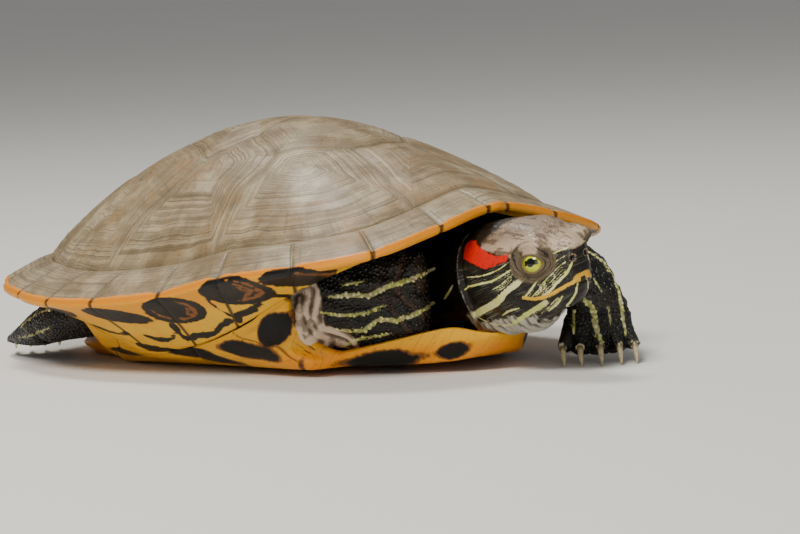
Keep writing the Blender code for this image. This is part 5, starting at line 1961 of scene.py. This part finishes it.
    def _sculpt(self, body: bpy.types.Object) -> dict[str, Array]:
        """Shape lids, nostrils, beak, folds and wrinkles.

        Args:
            body: The skin.

        Returns:
            Named values per vertex for the finish.
        """
        mesh = body.data
        spots = moved(vertex_rows(mesh), PLACE.inverted())
        local = moved(spots, HEAD.inverted())
        turn = np.array((HEAD.inverted() @ PLACE.inverted()).to_3x3().normalized())
        normals = vertex_rows(mesh, "normal") @ turn.T
        on_head = (local[:, 0] > -46.0) & (np.abs(local[:, 1]) < 17.5)
        values: dict[str, Array] = {}
        shift = np.zeros(len(local))
        local, clear = self._lids(local, values)
        self._snout(local, shift, on_head, values)
        self._head_folds(local, shift, clear, values)
        shift -= self._toes(spots, values)
        self._wrinkles(spots, local, shift, values)
        self._tones(local, on_head, values)
        self.local = local + normals * shift[:, None]
        self.upright = moved(moved(self.local, HEAD), PLACE)
        self.final = moved(moved(self.leaned(self.local), HEAD), PLACE)
        placed(mesh, self.final, 0.0001)
        return values

    def _toes(self, spots: Array, values: dict[str, Array]) -> Array:
        """Mark the scales round each claw's root, and return the depth of the grooves between toes.

        Args:
            spots: Points in the shell's axes.
            values: Takes the scales' mask.

        Returns:
            One depth per point.
        """
        cuff, depth = np.zeros(len(spots)), np.zeros(len(spots))
        last = {}
        for name in CLAW_WIDTHS:
            root, tip = (moved(spot[None], PLACE.inverted())[0] for spot in claw_ends(name))
            away = np.linalg.norm(spots - root - [0.0, 0.0, 0.5], axis=1)
            cuff = np.maximum(cuff, ramp(away, 2.9, 2.1))
            foot = name.rsplit("_", 1)[0]
            if foot in last:
                before, before_tip = last[foot]
                middle, course = (root + before) / 2, (tip + before_tip - root - before)[:2]
                course = course / np.linalg.norm(course)
                offset = (spots - middle)[:, :2]
                along, aside = offset @ course, offset @ np.array([-course[1], course[0]])
                spread = ramp(along, -8.0, -3.0) * ramp(spots[:, 2], 10.0, 6.5) * ramp(along, 6.0, 4.0)
                depth = np.maximum(depth, bell(aside, 0.75) * spread)
            last[foot] = (root, tip)
        values["cuff"] = cuff
        return depth

    # -- markings

    def _network(self, body: bpy.types.Object) -> tuple[Array, Array]:
        """Return points along every stripe on the skin, with the half-width at each.

        Args:
            body: The skin.

        Returns:
            The points, and the half-widths in millimetres.
        """
        faces = [tuple(face.vertices) for face in body.data.polygons]
        tree = BVHTree.FromPolygons([Vector(spot) for spot in self.upright], faces)
        whole = PLACE @ HEAD
        found, widths = [], []

        def lay(start: Vector, way: Vector, turn: Matrix, wide: float) -> None:
            """Keep the place where a straight line from a point first meets the skin.

            Args:
                start: Where the line starts.
                way: Its direction, in the stripe's own axes.
                turn: Matrix of those axes.
                wide: The stripe's half-width there.
            """
            hit = tree.ray_cast(start, (turn.to_3x3() @ way).normalized())[0]
            if hit is not None:
                found.append(hit[:])
                widths.append(wide)

        for side in Side:
            for stroke in self.strokes:
                path = smooth_path(stroke.points, 0.3)
                share = np.linspace(0.0, 1.0, len(path))
                thin = 0.7 if stroke.width < 1.3 else 0.95
                width = 0.5 * thin * stroke.width * (1.0 - stroke.taper * np.abs(2.0 * share - 1.0) ** 3)
                for (x, z), wide in zip(path, width):
                    slant = 0.75 * float(ramp(x, -7.0, -2.0))
                    out = float(np.interp(x, [-6.0, -4.0, -2.0, 0.0, 1.8], [7.6, 6.8, 5.9, 4.8, 3.0]))
                    way = Vector((-slant, -side.value, 0.0)).normalized()
                    lay(whole @ (Vector((x, side.value * out, z)) - way * (17.0 - out)), way, whole, wide)
        found[:] = moved(self.leaned(moved(np.array(found), whole.inverted())), whole).tolist()
        for course, width, path in self._limb_stripes():
            fine, way = smooth_path(path, 0.3), Vector(course)
            half = 0.42 * width * (1.0 - 0.4 * np.abs(2.0 * np.linspace(0.0, 1.0, len(fine)) - 1.0) ** 4)
            for spot, wide in zip(fine, half):
                lay(PLACE @ (Vector(spot) - way * 30.0), way, PLACE, wide)
        return np.array(found), np.array(widths)

    def _limb_stripes(self) -> list[tuple[tuple, float, list]]:
        """Return the way in which each of the legs' stripes is laid on, its width and its path."""
        left = [(width, *((x, -y, z) for x, y, z in path)) for width, *path in self.hind_stripes]
        groups = (
            ((-0.752, 0.659, -0.07), self.fore_stripes), ((0.35, -0.94, 0.0), self.outer_stripes),
            ((0.0, 1.0, 0.0), self.hind_stripes), ((0.0, -1.0, 0.0), left),
        )
        return [(way, width, path) for way, rows in groups for width, *path in rows]

    def _mark(self, body: bpy.types.Object, values: dict[str, Array]) -> None:
        """Write every named value, the stripes' nearest points among them, on the mesh.

        Args:
            body: The skin.
            values: The named values, added to here.
        """
        network, widths = self._network(body)
        tree = kdtree.KDTree(len(network))
        for number, spot in enumerate(network):
            tree.insert(spot, number)
        tree.balance()
        met = [tree.find(spot) for spot in self.final]
        near = np.array([found[:] for found, _, _ in met])
        gap = np.array([distance for _, _, distance in met])
        wide = widths[[index for _, index, _ in met]]
        values["wide"], values["guard"] = wide, gap / MM
        values["mark"] = gap / MM - wide
        x, y, z = self.local.T
        loop = np.vstack([smooth_path(self.red_patch, 0.8), self.red_patch[:1]])
        edge = chain_distance(self.local[:, [0, 2]], loop)
        inside = np.zeros(len(x), bool)
        for (x0, z0), (x1, z1) in zip(loop[:-1], loop[1:]):
            if z0 != z1:
                inside ^= ((z0 > z) != (z1 > z)) & (x < (x1 - x0) * (z - z0) / (z1 - z0) + x0)
        on_side = (np.abs(np.abs(y) - 12.0) < 6.0) & (x > -50.0)
        values["red"] = np.where(on_side, np.where(inside, -edge, edge), 20.0)
        for name, value in values.items():
            layer = body.data.attributes.new(name, "FLOAT", "POINT")
            layer.data.foreach_set("value", np.asarray(value, np.float32))
        layer = body.data.attributes.new("near", "FLOAT_VECTOR", "POINT")
        layer.data.foreach_set("vector", near.astype(np.float32).reshape(-1))

    def build(self) -> bpy.types.Object:
        """Build and dress the skin in place of every flesh solid."""
        body = self._forms()
        self._welded(body)
        self._refined(body)
        values = self._sculpt(body)
        self._mark(body, values)
        body.data.shade_smooth()
        body.data.materials.clear()
        body.data.materials.append(SkinFinish().material())
        scales = new_object("leg_scales", body.data.copy())
        grown(scales, scale_nodes(), {
            "Spacing": 1.15 * MM, "Radius": 0.80 * MM, "Seed": SEED, "Finish": SkinFinish().material(scales=True)})
        for piece in (body, scales):
            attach(piece, "root")
            LOG.info("%s: %d triangles", piece.name, sum(len(face.vertices) - 2 for face in piece.data.polygons))
        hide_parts(*self.copied, *self.replaced)
        return body


@dataclass(frozen=True)
class EyeFinish:
    """Wet eye with a yellow-green iris, a round pupil and the dark bar across it."""

    iris: Colour = (0.40, 0.48, 0.006)
    bright: Colour = (0.66, 0.72, 0.03)
    rim: Colour = (0.10, 0.10, 0.012)
    black: Colour = (0.004, 0.004, 0.004)
    white: Colour = (0.05, 0.04, 0.025)

    def material(self) -> bpy.types.Material:
        """Build the finish from each point's place across the iris."""
        tree = Finish("eye_wet")
        across, rise = tree.value("across"), tree.value("rise")
        grain = (tree.noise(900.0, 3.0) - 0.5) * 0.5
        away = tree.math("SQRT", across ** 2.0 + rise ** 2.0) + grain
        turned = tree.math("ARCTAN2", rise, across)
        rays = tree.noise(1.6, 3.0, 0.5, tree.vector(turned * 5.0, away * 0.4))
        bar = (abs(rise) + grain * 0.8).between(1.05, 0.70) * abs(across).between(3.1, 2.3)
        colour = tree.layers(
            self.iris, (rays.between(0.40, 0.62), self.bright), (away.between(2.9, 3.8) * 0.85, self.rim),
            (abs(away - 2.0).between(0.25, 0.05), self.bright), (bar * 0.96, self.black),
            (away.between(1.62, 1.42), self.black), (away.between(4.0, 4.25), self.white))
        return tree.done({
            "Base Color": colour, "Roughness": 0.16 - tree.value("out").between(0.0, 1.0) * 0.08,
            "Specular IOR Level": 0.2, "Coat Weight": 0.6, "Coat Roughness": 0.02})


@dataclass
class Eye:
    """One eyeball, with the clear front standing a little proud."""

    side: Side
    radius: float = 5.05
    swell: float = 0.32
    rows: int = 48
    sides: int = 64

    def build(self) -> bpy.types.Object:
        """Build and dress the eyeball in place of its solid."""
        skin = Skin()
        out, front, up = skin.eye_axes(self.side)
        turn = 2.0 * math.pi * np.arange(self.sides) / self.sides
        angle = np.linspace(0.0, math.pi, self.rows)
        ring = np.outer(np.cos(turn), front) + np.outer(np.sin(turn), up)
        reach = self.radius + self.swell * bell(angle * self.radius, 2.6)
        unit = np.cos(angle)[:, None, None] * out + np.sin(angle)[:, None, None] * ring[None]
        shape = unit * reach[:, None, None]
        values = {
            "across": shape @ front, "rise": shape @ up, "out": np.cos(angle)[:, None] * np.ones(self.sides),
        }
        centre = skin.leaned(np.array([skin.eye_centre(self.side)]))[0]
        patch = Patchwork(["across", "rise", "out"])
        patch.grid(moved(centre + shape, HEAD), values, closed=True)
        eye = patch.build("eyeball_" + self.side.name.lower())
        eye.data.shade_smooth()
        eye.data.materials.append(EyeFinish().material())
        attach(eye, "root")
        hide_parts("eye_" + self.side.name.lower())
        return eye


# ------------------------------------------------------------------ claws and scales

class Growth(Tree):
    """A Geometry Nodes tree that takes and gives geometry."""

    def __init__(self, name: str, sockets: dict[str, str]) -> None:
        """Start the tree.

        Args:
            name: Name of the tree.
            sockets: Name of each further input and its kind.
        """
        group = bpy.data.node_groups.new(name, "GeometryNodeTree")
        group.interface.new_socket("Geometry", in_out="OUTPUT", socket_type="NodeSocketGeometry")
        kinds = {"Geometry": "Geometry", **sockets}
        for label, kind in kinds.items():
            group.interface.new_socket(label, in_out="INPUT", socket_type="NodeSocket" + kind)
        super().__init__(group)
        given = self.add("NodeGroupInput")
        self.given = {label: Number(self, given.outputs[label]) for label in kinds}

    def done(self, shape: Number) -> bpy.types.NodeTree:
        """Make the shape real, smooth it, dress it in the given finish and give it out.

        Args:
            shape: The geometry.

        Returns:
            The finished tree.
        """
        shape = self.read("GeometryNodeRealizeInstances", "Geometry", {"Geometry": shape})
        shape = self.read("GeometryNodeSetShadeSmooth", "Geometry", {"Geometry": shape, "Shade Smooth": True})
        shape = self.read("GeometryNodeSetMaterial", "Geometry", {
            "Geometry": shape, "Material": self.given["Finish"]})
        self.add("NodeGroupOutput", {"Geometry": shape})
        return self.tree


def grown(obj: bpy.types.Object, group: bpy.types.NodeTree, values: dict[str, object]) -> None:
    """Run a Geometry Nodes tree on an object and keep the result as its plain mesh.

    Args:
        obj: The object to change.
        group: The tree.
        values: The tree's inputs by name.
    """
    modifier = obj.modifiers.new(group.name, "NODES")
    modifier.node_group = group
    for item in group.interface.items_tree:
        if item.in_out == "INPUT" and item.name in values:
            modifier[item.identifier] = values[item.name]
    applied(obj)


def scale_nodes() -> bpy.types.NodeTree:
    """Build the tree that sets low, rounded scales side by side on the legs."""
    tree = Growth("leg_scales", {"Spacing": "Float", "Radius": "Float", "Seed": "Int", "Finish": "Material"})
    scaly = tree.read("GeometryNodeInputNamedAttribute", "Attribute", {"Name": "scaly"}, data_type="FLOAT")
    spread = tree.add("GeometryNodeDistributePointsOnFaces", {
        "Mesh": tree.given["Geometry"], "Distance Min": tree.given["Spacing"], "Density Max": 1600000.0,
        "Density Factor": scaly, "Seed": tree.given["Seed"]}, distribute_method="POISSON")
    dome = tree.read("GeometryNodeMeshUVSphere", "Mesh", {
        "Segments": 6, "Rings": 3, "Radius": tree.given["Radius"]})
    flat = tree.read("GeometryNodeTransform", "Geometry", {"Geometry": dome, "Scale": (1.0, 1.12, 0.24)})
    size = tree.read("FunctionNodeRandomValue", "Value", {
        "Min": 0.72, "Max": 1.12, "Seed": tree.given["Seed"]}, data_type="FLOAT")
    return tree.done(tree.read("GeometryNodeInstanceOnPoints", "Instances", {
        "Points": Number(tree, spread.outputs["Points"]), "Instance": flat,
        "Rotation": Number(tree, spread.outputs["Rotation"]), "Scale": size}))


def claw_nodes() -> bpy.types.NodeTree:
    """Build the tree that turns a line into a tapered, rounded claw."""
    tree = Growth("claw_taper", {"Root Radius": "Float", "Tip Share": "Float", "Finish": "Material"})
    line = tree.read("GeometryNodeMeshToCurve", "Curve", {"Mesh": tree.given["Geometry"]})
    line = tree.read("GeometryNodeResampleCurve", "Curve", {"Curve": line, "Count": 18})
    share = tree.read("GeometryNodeSplineParameter", "Factor")
    loss = share ** 1.35 * (1.0 - tree.given["Tip Share"])
    radius = (1.0 - loss) * (1.0 - share ** 14.0) ** 0.5 * tree.given["Root Radius"]
    line = tree.read("GeometryNodeStoreNamedAttribute", "Geometry", {
        "Geometry": line, "Name": "share", "Value": share}, data_type="FLOAT", domain="POINT")
    line = tree.read("GeometryNodeSetCurveRadius", "Curve", {"Curve": line, "Radius": radius})
    outline = tree.read("GeometryNodeCurvePrimitiveCircle", "Curve", {"Resolution": 14, "Radius": 1.0})
    body = tree.add("GeometryNodeCurveToMesh", {"Curve": line, "Profile Curve": outline, "Fill Caps": True})
    if "Scale" in body.inputs:
        tree.feed(body.inputs["Scale"], radius)
    return tree.done(Number(tree, body.outputs["Mesh"]))


@dataclass(frozen=True)
class ClawFinish:
    """Cream horn, darker and browner at the root."""

    cream: Colour = (0.62, 0.53, 0.30)
    root: Colour = (0.20, 0.14, 0.06)
    tip: Colour = (0.46, 0.36, 0.20)
    roughness: float = 0.28

    def material(self) -> bpy.types.Material:
        """Build the finish from the share of the claw's length."""
        tree = Finish("claw_horn")
        share, streaks = tree.value("share"), tree.noise(700.0, 4.0, 0.6)
        colour = tree.layers(
            self.root, (share.between(0.05, 0.4), self.cream), (share.between(0.7, 1.0), self.tip),
            (streaks.between(0.45, 0.65) * 0.35, self.root))
        return tree.done({
            "Base Color": colour, "Roughness": streaks * 0.15 + self.roughness, "Coat Weight": 0.3,
            "Coat Roughness": 0.15}, streaks, 0.3, 0.0002)


CLAW_TREE = claw_nodes()
CLAW_HORN = ClawFinish().material()


@dataclass
class Claw:
    """One claw, laid along its solid from root to tip."""

    name: str
    tip_share: float = 0.30
    arch: float = 0.6
    buried: float = 1.2

    def build(self) -> bpy.types.Object:
        """Build and dress the claw in place of its solid."""
        root, tip = claw_ends(self.name)
        course = (tip - root) / np.linalg.norm(tip - root)
        share = np.linspace(0.0, 1.0, 9)
        line = root - course * self.buried * MM + np.outer(share, tip - root + course * self.buried * MM)
        line[:, 2] += self.arch * MM * np.sin(math.pi * share)
        mesh = bpy.data.meshes.new("horn_" + self.name)
        mesh.from_pydata([tuple(spot) for spot in line], [(i, i + 1) for i in range(8)], [])
        claw = new_object("horn_" + self.name, mesh)
        grown(claw, CLAW_TREE, {
            "Root Radius": CLAW_WIDTHS[self.name] * MM, "Tip Share": self.tip_share, "Finish": CLAW_HORN})
        placed(claw.data, vertex_rows(claw.data))
        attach(claw, "root")
        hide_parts(self.name)
        return claw


# ------------------------------------------------------------------ studio

@dataclass(frozen=True)
class Studio:
    """The floor, the lights and the camera."""

    yaw: float = math.radians(48.8)
    elevation: float = math.radians(4.1)
    roll: float = math.radians(3.4)
    distance: float = 1.839
    sensor: float = 36.0
    floor_half: float = 6.0
    frame_width: float = 0.281
    aim: tuple[float, float, float] = (0.0, 0.0, 40.0)
    aim_shift: tuple[float, float] = (0.0339, -0.0107)

    def camera(self) -> bpy.types.Object:
        """Place the camera and make it the scene's."""
        right = Vector((math.cos(self.yaw), math.sin(self.yaw), 0.0))
        away = Vector((-math.sin(self.yaw), math.cos(self.yaw), 0.0))
        up = Vector((0.0, 0.0, 1.0))
        rise = up * math.cos(self.elevation) + away * math.sin(self.elevation)
        look = away * math.cos(self.elevation) - up * math.sin(self.elevation)
        across = right * math.cos(self.roll) - rise * math.sin(self.roll)
        rise = right * math.sin(self.roll) + rise * math.cos(self.roll)
        turn = PLACE.to_3x3().normalized()
        target = PLACE @ Vector(self.aim)
        place = target - turn @ look * self.distance
        centre = target + turn @ (across * self.aim_shift[0] + rise * self.aim_shift[1])
        back = (place - centre).normalized()
        side = (turn @ rise).cross(back).normalized()
        grid = Matrix((side, back.cross(side), back)).transposed().to_4x4()
        grid.translation = place
        camera = new_object("camera", bpy.data.cameras.new("camera"))
        camera.data.sensor_width = self.sensor
        camera.data.lens = self.sensor * (centre - place).length / self.frame_width
        camera.data.clip_start = 0.05
        camera.matrix_world = grid
        bpy.context.scene.camera = camera
        return camera

    def light(self, name: str, place: Sequence[float], size: float, power: float, colour: Colour) -> None:
        """Add a soft lamp that faces the model.

        Args:
            name: Name of the lamp.
            place: Where it stands, in metres.
            size: Its breadth.
            power: Its power in watts.
            colour: Its colour.
        """
        lamp = new_object(name, bpy.data.lights.new(name, "AREA"))
        lamp.data.shape, lamp.data.size, lamp.data.energy, lamp.data.color = "DISK", size, power, colour
        lamp.location = place
        way = Vector(place) - Vector((0.0, 0.0, 0.03))
        lamp.rotation_euler = way.to_track_quat("Z", "Y").to_euler()

    def floor(self) -> bpy.types.Object:
        """Lay a plain pale floor."""
        mesh = bpy.data.meshes.new("floor")
        corners = [(x * self.floor_half, y * self.floor_half, 0.0) for x, y in ((-1, -1), (1, -1), (1, 1), (-1, 1))]
        mesh.from_pydata(corners, [], [(0, 1, 2, 3)])
        tree = Finish("floor_paint")
        colour = tree.mix(tree.noise(3.0, 4.0), (0.74, 0.725, 0.69), (0.78, 0.765, 0.735))
        mesh.materials.append(tree.done({"Base Color": colour, "Roughness": 0.75}))
        floor = new_object("floor", mesh)
        return floor

    def build(self) -> None:
        """Set up the whole studio."""
        self.floor()
        self.camera()
        self.light("key_lamp", (0.35, -0.75, 1.05), 0.5, 15.0, (1.0, 0.96, 0.89))
        self.light("fill_lamp", (1.2, -0.9, 0.40), 0.8, 3.2, (0.97, 0.98, 1.0))
        self.light("back_lamp", (-0.55, 0.15, 1.10), 0.32, 9.0, (1.0, 0.97, 0.91))
        world = bpy.data.worlds.new("studio")
        world.use_nodes = True
        tree = Tree(world.node_tree)
        background = world.node_tree.nodes["Background"]
        place = tree.read("ShaderNodeTexCoord", "Generated")
        height = tree.read("ShaderNodeSeparateXYZ", "Z", {0: place})
        colour = tree.mix(height.between(-0.1, 0.8), (0.62, 0.61, 0.585), (0.80, 0.81, 0.82))
        tree.feed(background.inputs["Color"], colour)
        tree.feed(background.inputs["Strength"], 0.34)
        bpy.context.scene.world = world


def main() -> None:
    """Build every piece in order."""
    logging.basicConfig(level=logging.INFO)
    Studio().build()
    shell = Carapace()
    shell.build()
    Plastron(shell).build()
    Skin().build()
    for side in Side:
        Eye(side).build()
    for name in CLAW_WIDTHS:
        Claw(name).build()


if __name__ == "__main__":
    main()
